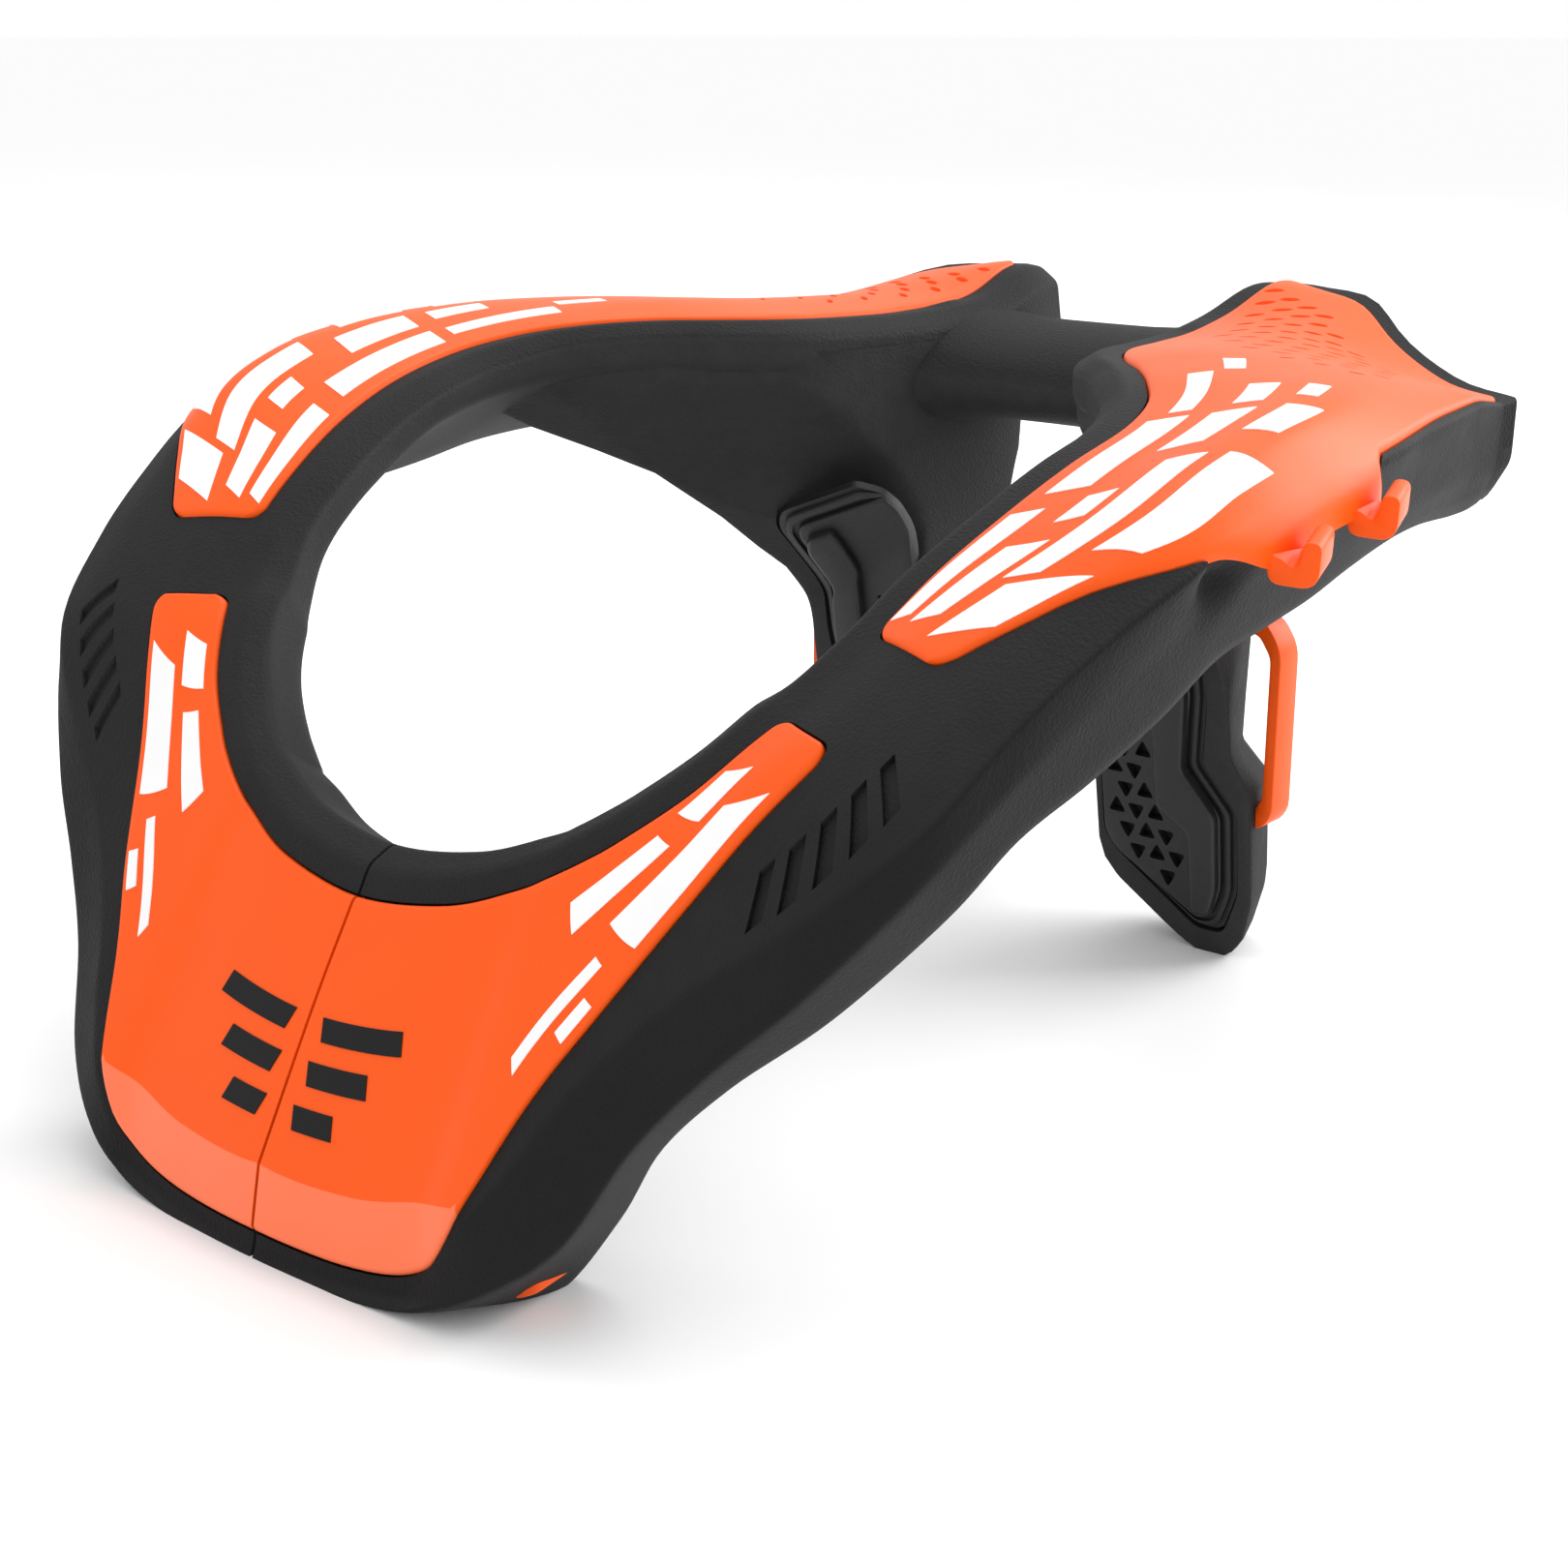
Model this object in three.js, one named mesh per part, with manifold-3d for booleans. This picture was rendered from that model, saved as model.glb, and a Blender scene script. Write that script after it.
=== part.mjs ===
// Youth neck brace: a dark foam collar, slit at the front, with orange shell plates on its arms,
// two legs down the back with rubber pads, strap hooks on the plates and strap loops on the legs.
// Millimetres, +Z up. +X is the wearer's left, the front faces -Y, and the brace stands on Z = 0.
import * as THREE from "three";
import { mergeVertices } from "three/addons/utils/BufferGeometryUtils.js";
import Module from "manifold-3d";

const wasm = await Module();
wasm.setup();

// Driving dimensions
const LENGTH = 249; // front lip to the tips of the rear wings
const FIT_GAP = 0.3; // between neighbouring pieces
const SLIT = 0.6; // the parting at the front middle
const RIM = 5; // foam rim between a plate and the neck opening
const BEVEL = { across: 4.2, deep: 3.2 }; // bevel from the rim into the neck opening
const PLATE = { thick: 2, proud: 0.5, corner: 4 }; // shell plates, seated in a recess
const SECTIONS_PER_STATION = 2;

// Colours of the materials
const FOAM = { color: 0x2f3032, roughness: 0.85, metalness: 0 };
const SHELL = { color: 0xff6629, roughness: 0.4, metalness: 0 };
const RUBBER = { color: 0x1c1c1d, roughness: 0.7, metalness: 0 };

// Sections of one half of the collar, from the front slit to the wing's tip. A place is given as
// x: from the middle plane, y: behind the front lip, z: above the floor. a is the inner edge of the
// plates, b the outer ridge, c the crease below it on the outer side, and d the edge of the underside.
// wall is the depth of the inner wall below a. hump and dome lift the top surface at HUMP_AT and
// DOME_AT of the way from a to b, and plate is the width of the shell plate.
const COLUMNS = [
  "ax", "ay", "az", "bx", "by", "bz", "cx", "cy", "cz", "dx", "dy", "dz", "wall", "hump", "dome", "plate",
];
const HUMP_AT = 0.3;
const DOME_AT = 0.75;
const STATIONS = [
  [0, 28.5, 49.1, 0, 2.2, 2.6, 0, 4.2, -1.2, 0, 26, -6, 16, 0.5, 0.3, 50.4],
  [17.8, 29.8, 51.4, 19, 3.2, 3, 20, 5, -0.2, 19, 27, -6, 16, 0.5, 0.3, 52.4],
  [29.1, 32.7, 55.4, 31.5, 4.2, 5, 33, 6, 2, 30.5, 28, -5, 15.5, 0.5, 0.3, 54.4],
  [34.1, 34.2, 58, 38.2, 6.6, 12.6, 43.5, 8.2, 6.6, 40, 30, -2, 15, 0.5, 0.3, 51],
  [38.9, 36.3, 60.9, 46, 13.2, 25, 54, 13.6, 15, 47, 35, 10, 14.5, 0.5, 0.3, 35.7],
  [43.3, 38.8, 64, 52.4, 20.1, 36.8, 61, 20.4, 29, 56, 34, 23.5, 14, 0.6, 0.4, 27],
  [51.1, 44.3, 70.7, 63.8, 28.4, 49.9, 69.5, 26, 40.4, 67, 35.5, 34.5, 13.5, 0.8, 0.4, 17.5],
  [57, 50.8, 77.8, 77, 34.6, 60.3, 80, 32.4, 51.6, 78.5, 43.5, 45, 13, 2, 1, 14],
  [61.5, 57.5, 83.5, 91.5, 43.2, 74, 91, 42, 66, 89, 54, 58.5, 12, 2.2, 2, 13.6],
  [65.8, 66.4, 91.3, 96.9, 55.8, 86.2, 96, 53.4, 76.8, 93, 63.5, 67.3, 10.5, 1.8, 2, 16.6],
  [68.2, 77.1, 98.6, 101.2, 68.8, 95.2, 98.4, 66, 84, 95, 77, 72.3, 9.5, 1.5, 2.5, 24.7],
  [70.6, 89.5, 105, 106, 84, 103.2, 101, 82, 91, 97, 91, 78.5, 9.2, 1.8, 4.4, 34.2],
  [71.9, 103.1, 110.2, 107.8, 97.5, 107, 102.5, 96, 95.5, 98, 103, 84.5, 8.2, 2.2, 5.8, 35],
  [71.9, 117.5, 113.7, 108, 112, 109.6, 102.8, 111, 98, 97.8, 116, 86.5, 8, 2.6, 6, 35.4],
  [68.3, 129.9, 116, 107.5, 126, 110.8, 102.4, 126, 99, 97.5, 129, 88.3, 8.2, 3, 5.8, 38.4],
  [61.8, 140.3, 117.4, 106, 140, 111.6, 101.6, 140, 99.8, 97, 141, 90.7, 8.6, 3.4, 5.4, 43],
  [54.3, 150, 117.9, 103.5, 152, 112, 100, 152, 100.2, 96, 152, 92, 8.8, 3.6, 5, 48],
  [46, 159, 117.9, 101.5, 163, 112.2, 98.5, 163, 100.2, 94.8, 162.5, 92.7, 9.4, 3.8, 4.4, 54],
  [39.3, 170, 117.6, 99.5, 173, 112.2, 97, 173, 100.2, 93.5, 173, 92.8, 10.5, 3.6, 3.4, 58.5],
  [35.4, 184.9, 117.1, 97.5, 182, 112.1, 95.5, 182, 100.2, 92.3, 182, 92.8, 12, 3.2, 2.2, 60.4],
  [32.4, 201.5, 117.1, 96, 190, 112, 94, 190, 100.2, 91.2, 190, 92.7, 14, 2.8, 0.8, 62.8],
  [29.9, 219.3, 118.7, 94.5, 196.5, 112, 93, 197, 100.2, 90.7, 197.5, 93, 16, 2, -0.8, 66.8],
  [31.2, 241.1, 123.1, 93, 202, 112.1, 92, 202.8, 100.4, 90.5, 203.5, 93.7, 16, 0.8, -2.4, 72],
  [31.4, 244.1, 123.7, 93.5, 205, 112.5, 92.5, 205.7, 100.7, 91, 206.4, 94, 16, 0.8, -2.4, 72],
];
const LAST_STATION = STATIONS.length - 1;

// Where the plates start and end, counted in stations
const FRONT_PLATE = { from: 0, to: 7.7, stepsAlong: 20, stepsAcross: 2 };
const REAR_PLATE = { from: 9, to: LAST_STATION - 1, stepsAlong: 26, stepsAcross: 5 };
const FLANGE = { from: 11.5, to: 14.4, steps: 6, drop: 8, thick: 2, root: 3, shoulder: 1 };
const HOOKS = { stations: [12.2, 13.9], wide: 8, reach: 8.2, lip: 7.2, thick: 2.2, corner: 1.6 };

// A leg's front is the foremost of two planes: a sloping arch under the wing and a steep lower face.
// Each plane is given by its place at the origin and how far it comes forward per millimetre of x and up
const LEG_PLANES = [
  { back: 288.7, perX: 0.635, perUp: 1.07 },
  { back: 204.9, perX: 0, perUp: 0.16 },
];
const LEG = { chamfer: 3, taper: { across: 6, deep: 18 }, front: 120 };
const LEG_COLUMNS = ["up", "inner", "outer", "rear"];
const LEG_ROWS = [
  [0, 34, 47, 217],
  [4, 30, 49, 219],
  [14, 20.5, 51.5, 219],
  [36, 19.5, 52, 217],
  [47, 19.5, 50, 216],
  [58, 19.5, 49.5, 217],
  [68, 19.5, 50.5, 220],
  [78, 20, 53, 224],
  [88, 20.5, 57.5, 228],
  [98, 23, 62, 230],
  [104, 34, 63, 226],
];

// The bridge behind the neck: flattened ovals from the middle plane out into the wing
const BRIDGE = { sides: 14, tilt: 0.17 };
const BRIDGE_COLUMNS = ["x", "back", "up", "halfDeep", "halfTall"];
const BRIDGE_ROWS = [
  [-38, 217, 106, 20, 8.5],
  [-22, 217, 106, 20, 9],
  [0, 217, 106, 18, 8.5],
  [22, 217, 106, 20, 9],
  [38, 217, 106, 20, 8.5],
];

// Strap loops on the outer sides of the legs: a D-handle outline, x and height, whose two ends sit in
// seats that reach in to x between two heights
const LOOP = { back: 208, wide: 8, seatLong: 10 };
const LOOP_OUTLINE = [
  [46.5, 28], [53.6, 28], [56, 31], [56, 62], [52.4, 67.5], [45.5, 67.5], [45.5, 64], [51, 64],
  [53.4, 60.5], [53.4, 34], [51.8, 31.6], [46.5, 31.6],
];
const LOOP_SEATS = [
  { inner: 46.5, bottom: 28, top: 31.6 },
  { inner: 45.5, bottom: 64, top: 67.5 },
];

// Back pads: outlines in x and height, and thicknesses in front of the leg's face
const PAD = { base: 2, field: 3, raised: 3.6 };
const PAD_OUTLINE = [
  [23.5, 86.5], [27, 87.5], [44, 81], [46.5, 77.5], [46.5, 60], [45.5, 47], [49, 35], [48, 15], [44.5, 6],
  [37.5, 6], [23.5, 16], [21.5, 21], [21.5, 83.5],
];
const POCKET_FIELD = [[22.5, 22], [24, 17.5], [36, 9], [36, 32], [31, 50], [22.5, 62]];
const POCKET = { side: 4.2, margin: 1.4, pitchX: 6.2, pitchUp: 5.55 };
const POCKET_GRID = { rows: 9, perRow: 4, firstX: 24.5, firstUp: 12 };
const PAD_RIBS = [
  [[38, 10], [38, 33], [33, 51], [33, 66]],
  [[45.4, 13], [46.8, 34], [43, 47], [44, 60]],
];
const RIB_WIDE = 2;

// Orange tongues under the chest feet
const TAB = { size: [5, 12, 2], at: [42.2, 23.5, 4.2], turn: 0.14, roll: -0.45 };

const v3 = (x, y, z) => new THREE.Vector3(x, y, z);

// A named row of a table
function named(columns, row) {
  return Object.fromEntries(columns.map((name, i) => [name, row[i]]));
}

// A smooth value through evenly spaced numbers
function smooth(values, s) {
  const last = values.length - 1;
  const i = Math.min(Math.max(Math.floor(s), 0), last - 1);
  const f = s - i;
  const p1 = values[i];
  const p2 = values[i + 1];
  const p0 = i > 0 ? values[i - 1] : 2 * p1 - p2;
  const p3 = i + 2 <= last ? values[i + 2] : 2 * p2 - p1;
  const slope = (p2 - p0) / 2;
  const bend = p0 - 2.5 * p1 + 2 * p2 - p3 / 2;
  const twist = (3 * (p1 - p2) + p3 - p0) / 2;
  return p1 + f * (slope + f * (bend + f * twist));
}

const columnValues = COLUMNS.map((_, i) => STATIONS.map((row) => row[i]));

function stationValues(s) {
  return named(COLUMNS, columnValues.map((values) => smooth(values, s)));
}

// A station's values with its frame: place gives the point so far across and deep, flat is the inverse
function sectionAt(s) {
  const row = stationValues(s);
  const a = v3(row.ax, row.ay, row.az);
  const b = v3(row.bx, row.by, row.bz);
  const nudge = 0.05;
  const before = stationValues(Math.max(s - nudge, 0));
  const after = stationValues(Math.min(s + nudge, LAST_STATION));
  const along = v3(after.ax - before.ax, after.ay - before.ay, after.az - before.az);
  if (s === 0) along.set(1, 0, 0);
  const width = a.distanceTo(b);
  const across = b.clone().sub(a).normalize();
  const deep = along.cross(across).normalize();
  const place = (u, d) => a.clone().addScaledVector(across, u).addScaledVector(deep, d);
  const flat = (point) => [point.clone().sub(a).dot(across), point.clone().sub(a).dot(deep)];
  return { ...row, width, place, flat };
}

// Height of the top surface above the line from inner edge to ridge
function topLift(section, u) {
  const t = u / section.width;
  const knots = [[0, 0], [HUMP_AT, section.hump], [DOME_AT, section.dome], [1, 0]];
  const i = t < HUMP_AT ? 0 : t < DOME_AT ? 1 : 2;
  const slopeAt = (k) => {
    const lower = knots[Math.max(k - 1, 0)];
    const upper = knots[Math.min(k + 1, 3)];
    return (upper[1] - lower[1]) / (upper[0] - lower[0]);
  };
  const span = knots[i + 1][0] - knots[i][0];
  const f = (t - knots[i][0]) / span;
  const rise = knots[i][1] * (1 + 2 * f) * (1 - f) ** 2 + knots[i + 1][1] * f * f * (3 - 2 * f);
  return rise + span * (slopeAt(i) * f * (1 - f) ** 2 - slopeAt(i + 1) * f * f * (1 - f));
}

// Ring of the foam at a section
function foamRing(section) {
  const bevelAcross = RIM + BEVEL.across;
  const top = [0, 0.18, 0.4, 0.6, 0.78, 0.91, 1].map((t) => {
    const u = t * section.width;
    return section.place(u, -topLift(section, u));
  });
  return [
    section.place(-RIM, 0),
    ...top,
    v3(section.cx, section.cy, section.cz),
    v3(section.dx, section.dy, section.dz),
    section.place(1 - bevelAcross, section.wall),
    section.place(-bevelAcross, BEVEL.deep),
  ];
}

// A closed geometry from rings of points with equal counts, capped by each end ring's flat outline
function loft(rings, startOutline, endOutline) {
  const count = rings[0].length;
  const points = rings.flat();
  const faces = [];
  for (let r = 0; r + 1 < rings.length; r++) {
    for (let k = 0; k < count; k++) {
      const a = r * count + k;
      const b = r * count + ((k + 1) % count);
      faces.push([a, b, b + count], [a, b + count, a + count]);
    }
  }
  // Cap triangles that follow the ring's own order
  const cap = (outline) => {
    const flat = outline.map(([x, y]) => new THREE.Vector2(x, y));
    const triangles = THREE.ShapeUtils.triangulateShape(flat, []);
    const turned = THREE.ShapeUtils.isClockWise(flat);
    return triangles.map(([a, b, c]) => (turned ? [a, c, b] : [a, b, c]));
  };
  const lastRing = (rings.length - 1) * count;
  for (const [a, b, c] of cap(startOutline)) faces.push([a, c, b]);
  for (const [a, b, c] of cap(endOutline)) faces.push([a + lastRing, b + lastRing, c + lastRing]);
  const geometry = new THREE.BufferGeometry().setFromPoints(points);
  geometry.setIndex(faces.flat());
  return geometry;
}

// Solids for joining and cutting
function toSolid(geometry) {
  const bare = new THREE.BufferGeometry().setAttribute("position", geometry.getAttribute("position").clone());
  bare.setIndex(geometry.index ?? [...Array(geometry.getAttribute("position").count).keys()]);
  const merged = mergeVertices(bare, 1e-4);
  const mesh = (triVerts) => {
    const vertProperties = new Float32Array(merged.getAttribute("position").array);
    return new wasm.Manifold(new wasm.Mesh({ numProp: 3, vertProperties, triVerts }));
  };
  const triVerts = new Uint32Array(merged.index.array);
  const solid = mesh(triVerts);
  if (solid.volume() > 0) return solid;
  for (let i = 0; i < triVerts.length; i += 3) {
    [triVerts[i + 1], triVerts[i + 2]] = [triVerts[i + 2], triVerts[i + 1]];
  }
  return mesh(triVerts);
}

function toGeometry(solid) {
  const { vertProperties, triVerts } = solid.getMesh();
  const geometry = new THREE.BufferGeometry();
  geometry.setAttribute("position", new THREE.BufferAttribute(vertProperties, 3));
  geometry.setIndex(new THREE.BufferAttribute(triVerts, 1));
  return geometry;
}

function join(solids) {
  return solids.reduce((all, one) => all.add(one));
}

function boxSolid(size, centre) {
  return toSolid(new THREE.BoxGeometry(...size).translate(...centre));
}

// One arm of the collar, from the slit to the wing's tip
function armSolid() {
  const sections = Array.from({ length: LAST_STATION * SECTIONS_PER_STATION + 1 }, (_, i) => (
    sectionAt(i / SECTIONS_PER_STATION)
  ));
  const rings = sections.map(foamRing);
  const startOutline = rings[0].map(sections[0].flat);
  const endOutline = rings.at(-1).map(sections.at(-1).flat);
  return toSolid(loft(rings, startOutline, endOutline));
}

// The part of a solid that lies at least so far in front of a leg's face
function inFrontOf(solid, distance) {
  return LEG_PLANES.reduce((kept, { back, perX, perUp }) => {
    const steep = Math.hypot(1, perX, perUp);
    return kept.trimByPlane([-perX / steep, -1 / steep, -perUp / steep], distance - back / steep);
  }, solid);
}

// One leg, as level slices from the floor up into the wing, cut back to its front face
function legSolid() {
  const { chamfer, taper, front } = LEG;
  const outlines = LEG_ROWS.map((row) => {
    const { inner, outer, rear } = named(LEG_COLUMNS, row);
    const rearOuter = outer - taper.across;
    return [
      [inner, front], [outer, front], [outer, rear - taper.deep], [rearOuter, rear - chamfer],
      [rearOuter - chamfer, rear], [inner + chamfer, rear], [inner, rear - chamfer],
    ];
  });
  const rings = outlines.map((outline, i) => outline.map(([x, y]) => v3(x, y, LEG_ROWS[i][0])));
  const block = toSolid(loft(rings, outlines[0], outlines.at(-1)));
  return block.subtract(inFrontOf(block, 0));
}

// The bridge, as upright slices across the middle plane
function bridgeSolid() {
  const outlines = BRIDGE_ROWS.map((row) => {
    const { back, up, halfDeep, halfTall } = named(BRIDGE_COLUMNS, row);
    return Array.from({ length: BRIDGE.sides }, (_, k) => {
      const turn = (2 * Math.PI * k) / BRIDGE.sides;
      const y = halfDeep * Math.cos(turn);
      const z = halfTall * Math.sin(turn);
      return [back + y - z * BRIDGE.tilt, up + z + y * BRIDGE.tilt];
    });
  });
  const rings = outlines.map((outline, i) => outline.map(([y, z]) => v3(BRIDGE_ROWS[i][0], y, z)));
  return toSolid(loft(rings, outlines[0], outlines.at(-1)));
}

// How far a rounded corner draws an edge in at a distance from the end
function cornerInset(distance, radius) {
  return distance >= radius ? 0 : radius - Math.sqrt(radius ** 2 - (radius - distance) ** 2);
}

// A shell plate over the top surface between two stations, grown on every side by extra
function plateSolid({ from, to, stepsAlong, stepsAcross }, extra, roundStart) {
  const grid = [];
  let way = 0;
  const stations = Array.from({ length: stepsAlong + 1 }, (_, i) => from + ((to - from) * i) / stepsAlong);
  const middles = stations.map((s) => {
    const section = sectionAt(s);
    return section.place(section.plate / 2, 0);
  });
  const ways = middles.map((middle, i) => {
    way += i > 0 ? middle.distanceTo(middles[i - 1]) : 0;
    return way;
  });
  stations.forEach((s, i) => {
    const section = sectionAt(s);
    const toStart = roundStart ? ways[i] : Infinity;
    const toEnd = way - ways[i];
    const inset = cornerInset(Math.min(toStart, toEnd), PLATE.corner) - extra;
    const headroom = 4 * extra;
    const upper = [];
    const lower = [];
    for (let k = 0; k <= stepsAcross; k++) {
      const u = inset + ((section.plate - 2 * inset) * k) / stepsAcross;
      const lift = topLift(section, Math.min(Math.max(u, 0), section.width));
      upper.push(section.place(u, -lift - PLATE.proud - headroom));
      lower.push(section.place(u, -lift - PLATE.proud + PLATE.thick + extra));
    }
    grid.push([...upper, ...lower.reverse()]);
  });
  // The caps' outline is bowed, so that no cap triangle skips a point
  const ringOutline = grid[0].map((_, k) => {
    const column = k <= stepsAcross ? k : 2 * stepsAcross + 1 - k;
    const bow = 0.1 * column * (stepsAcross - column);
    return [column, k <= stepsAcross ? 1 + bow : -bow];
  });
  if (extra > 0) stretchEnds(grid, extra);
  return toSolid(loft(grid, ringOutline, ringOutline));
}

// Moves the first and last rings of a cutter outwards by extra
function stretchEnds(grid, extra) {
  const push = (end, next) => {
    end.forEach((point, k) => {
      const away = point.clone().sub(next[k]).normalize();
      point.addScaledVector(away, extra);
    });
  };
  push(grid[0], grid[1]);
  push(grid.at(-1), grid.at(-2));
}

// The flange under the plate's outer edge, down the outer side of the foam, grown by extra
function flangeSolid(extra) {
  const rings = [];
  const root = PLATE.thick - PLATE.proud;
  for (let i = 0; i <= FLANGE.steps; i++) {
    const section = sectionAt(FLANGE.from + ((FLANGE.to - FLANGE.from) * i) / FLANGE.steps);
    const outer = Math.max(section.width, section.plate) - extra;
    const face = outer + FLANGE.thick + 2 * extra;
    const inner = section.plate - FLANGE.root - extra;
    rings.push([
      section.place(inner, -PLATE.proud - extra),
      section.place(face, FLANGE.shoulder - PLATE.proud - extra),
      section.place(face, FLANGE.drop + extra),
      section.place(outer, FLANGE.drop + extra),
      section.place(outer, root + extra),
      section.place(inner, root + extra),
    ]);
  }
  if (extra > 0) stretchEnds(rings, extra);
  // The caps' outline has the ring's shape in whole units
  const outline = [[0, 0], [4, 1], [4, 7], [2, 7], [2, 2], [0, 2]];
  return toSolid(loft(rings, outline, outline));
}

// One J-shaped strap hook at a station of the flange
function hookSolid(station) {
  const section = sectionAt(station);
  const { wide, reach, lip, thick, corner } = HOOKS;
  const root = section.place(section.width + FIT_GAP + FLANGE.thick / 2, FLANGE.drop - thick);
  const shape = new THREE.Shape();
  shape.moveTo(0, 0);
  shape.lineTo(0, -thick);
  shape.lineTo(reach - corner, -thick);
  shape.lineTo(reach, corner - thick);
  shape.lineTo(reach, lip - thick);
  shape.lineTo(reach - thick, lip - thick);
  shape.lineTo(reach - thick, 0);
  shape.closePath();
  const geometry = new THREE.ExtrudeGeometry(shape, { depth: wide, bevelEnabled: false });
  geometry.translate(0, 0, -wide / 2).rotateX(Math.PI / 2).translate(root.x, root.y, root.z);
  return toSolid(geometry);
}

// A layer over a leg's face, between two distances in front of it
function layer(outline, bottom, top, holes = []) {
  const shape = new THREE.Shape(outline.map(([x, up]) => new THREE.Vector2(x, up)));
  shape.holes = holes.map((hole) => new THREE.Path(hole.map(([x, up]) => new THREE.Vector2(x, up))));
  const geometry = new THREE.ExtrudeGeometry(shape, { depth: LENGTH / 2, bevelEnabled: false });
  const block = toSolid(geometry.rotateX(Math.PI / 2).translate(0, LENGTH, 0));
  const room = boxSolid([LENGTH, 2 * LENGTH, LENGTH], [0, 0, 0]);
  return inFrontOf(block, bottom).subtract(inFrontOf(room, top));
}

// Whether a point lies inside an outline
function inside(outline, x, v) {
  let odd = false;
  outline.forEach(([x1, v1], i) => {
    const [x2, v2] = outline[(i + 1) % outline.length];
    if (v1 > v !== v2 > v && x < x1 + ((x2 - x1) * (v - v1)) / (v2 - v1)) odd = !odd;
  });
  return odd;
}

// Triangular pockets, in rows that point up and down in turn
function pocketHoles() {
  const holes = [];
  const reach = POCKET.side / Math.sqrt(3);
  const room = reach + POCKET.margin;
  const sixth = Math.PI / 3;
  const around = [0, 1, 2, 3, 4, 5].map((i) => i * sixth);
  for (let row = 0; row < POCKET_GRID.rows; row++) {
    const odd = row % 2;
    const first = odd ? Math.PI / 2 : -Math.PI / 2;
    const corners = [0, 2, 4].map((i) => first + i * sixth);
    for (let k = 0; k < POCKET_GRID.perRow; k++) {
      const x = POCKET_GRID.firstX + (k + odd / 2) * POCKET.pitchX;
      const up = POCKET_GRID.firstUp + row * POCKET.pitchUp;
      const spot = (far, turn) => [x + far * Math.cos(turn), up + far * Math.sin(turn)];
      if (!around.every((turn) => inside(POCKET_FIELD, ...spot(room, turn)))) continue;
      holes.push(corners.map((turn) => spot(reach, turn)));
    }
  }
  return holes;
}

// A strip of even width along a line
function strip(line, wide) {
  const sides = [[], []];
  line.forEach(([x, v], i) => {
    const [x0, v0] = line[Math.max(i - 1, 0)];
    const [x1, v1] = line[Math.min(i + 1, line.length - 1)];
    const length = Math.hypot(x1 - x0, v1 - v0);
    const across = [((v1 - v0) / length) * (wide / 2), (-(x1 - x0) / length) * (wide / 2)];
    sides[0].push([x + across[0], v + across[1]]);
    sides[1].push([x - across[0], v - across[1]]);
  });
  return [...sides[0], ...sides[1].reverse()];
}

function padSolid() {
  const base = layer(PAD_OUTLINE, FIT_GAP, FIT_GAP + PAD.base);
  const field = layer(POCKET_FIELD, FIT_GAP, FIT_GAP + PAD.field, pocketHoles());
  const ribs = PAD_RIBS.map((line) => layer(strip(line, RIB_WIDE), FIT_GAP, FIT_GAP + PAD.raised));
  return join([base, field, ...ribs]);
}

function loopSolid() {
  const shape = new THREE.Shape(LOOP_OUTLINE.map(([x, z]) => new THREE.Vector2(x, z)));
  const geometry = new THREE.ExtrudeGeometry(shape, { depth: LOOP.wide, bevelEnabled: false });
  return toSolid(geometry.rotateX(Math.PI / 2).translate(0, LOOP.back + LOOP.wide / 2, 0));
}

// Room in the leg for the ends of a loop
function loopSeats() {
  const { back, wide, seatLong } = LOOP;
  return LOOP_SEATS.map(({ inner, bottom, top }) => boxSolid(
    [seatLong + FIT_GAP, wide + 2 * FIT_GAP, top - bottom + 2 * FIT_GAP],
    [inner + (seatLong - FIT_GAP) / 2, back, (bottom + top) / 2],
  ));
}

function tabSolid(extra) {
  const size = TAB.size.map((side) => side + 2 * extra);
  const geometry = new THREE.BoxGeometry(...size).rotateY(TAB.roll).rotateZ(TAB.turn).translate(...TAB.at);
  return toSolid(geometry);
}

const mirrored = (solid) => toSolid(toGeometry(solid).scale(-1, 1, 1));

// Assembly
const frontPlate = plateSolid(FRONT_PLATE, 0, false);
const rearPlate = join([plateSolid(REAR_PLATE, 0, true), flangeSolid(0), ...HOOKS.stations.map(hookSolid)]);
const recesses = [
  plateSolid(FRONT_PLATE, FIT_GAP, false),
  plateSolid(REAR_PLATE, FIT_GAP, true),
  flangeSolid(FIT_GAP),
  tabSolid(FIT_GAP),
  ...loopSeats(),
];
const halfFoam = recesses.reduce((foam, cut) => foam.subtract(cut), join([armSolid(), legSolid()]));
const floor = boxSolid([LENGTH, 2 * LENGTH, LENGTH], [0, LENGTH / 2, -LENGTH / 2]);
const slit = boxSolid([SLIT, LENGTH / 2, LENGTH], [0, 0, 0]);
const foam = join([halfFoam, mirrored(halfFoam), bridgeSolid()]).subtract(floor).subtract(slit);

const brace = new THREE.Group();
brace.name = "neck_brace";

function addPiece(name, solid, finish) {
  const mesh = new THREE.Mesh(toGeometry(solid), new THREE.MeshStandardMaterial(finish));
  mesh.name = name;
  brace.add(mesh);
}

addPiece("foam_collar", foam, FOAM);
const pairs = [
  ["front_plate", frontPlate.subtract(slit), SHELL],
  ["rear_plate", rearPlate, SHELL],
  ["back_pad", padSolid(), RUBBER],
  ["strap_loop", loopSolid(), SHELL],
  ["chest_tab", tabSolid(0), SHELL],
];
for (const [name, solid, finish] of pairs) {
  addPiece(`${name}_left`, solid, finish);
  addPiece(`${name}_right`, mirrored(solid), finish);
}

// The origin is on the floor below the middle of the brace's length
const middle = new THREE.Box3().setFromObject(brace).getCenter(v3(0, 0, 0));
for (const mesh of brace.children) mesh.position.y = -middle.y;

export default brace;
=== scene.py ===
"""Looks of the youth neck brace: foam, shell plates, pads, hooks, loops, print, floor, light and camera."""
import math

import bmesh
import bpy
import numpy as np
from mathutils import Matrix, Vector

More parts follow.
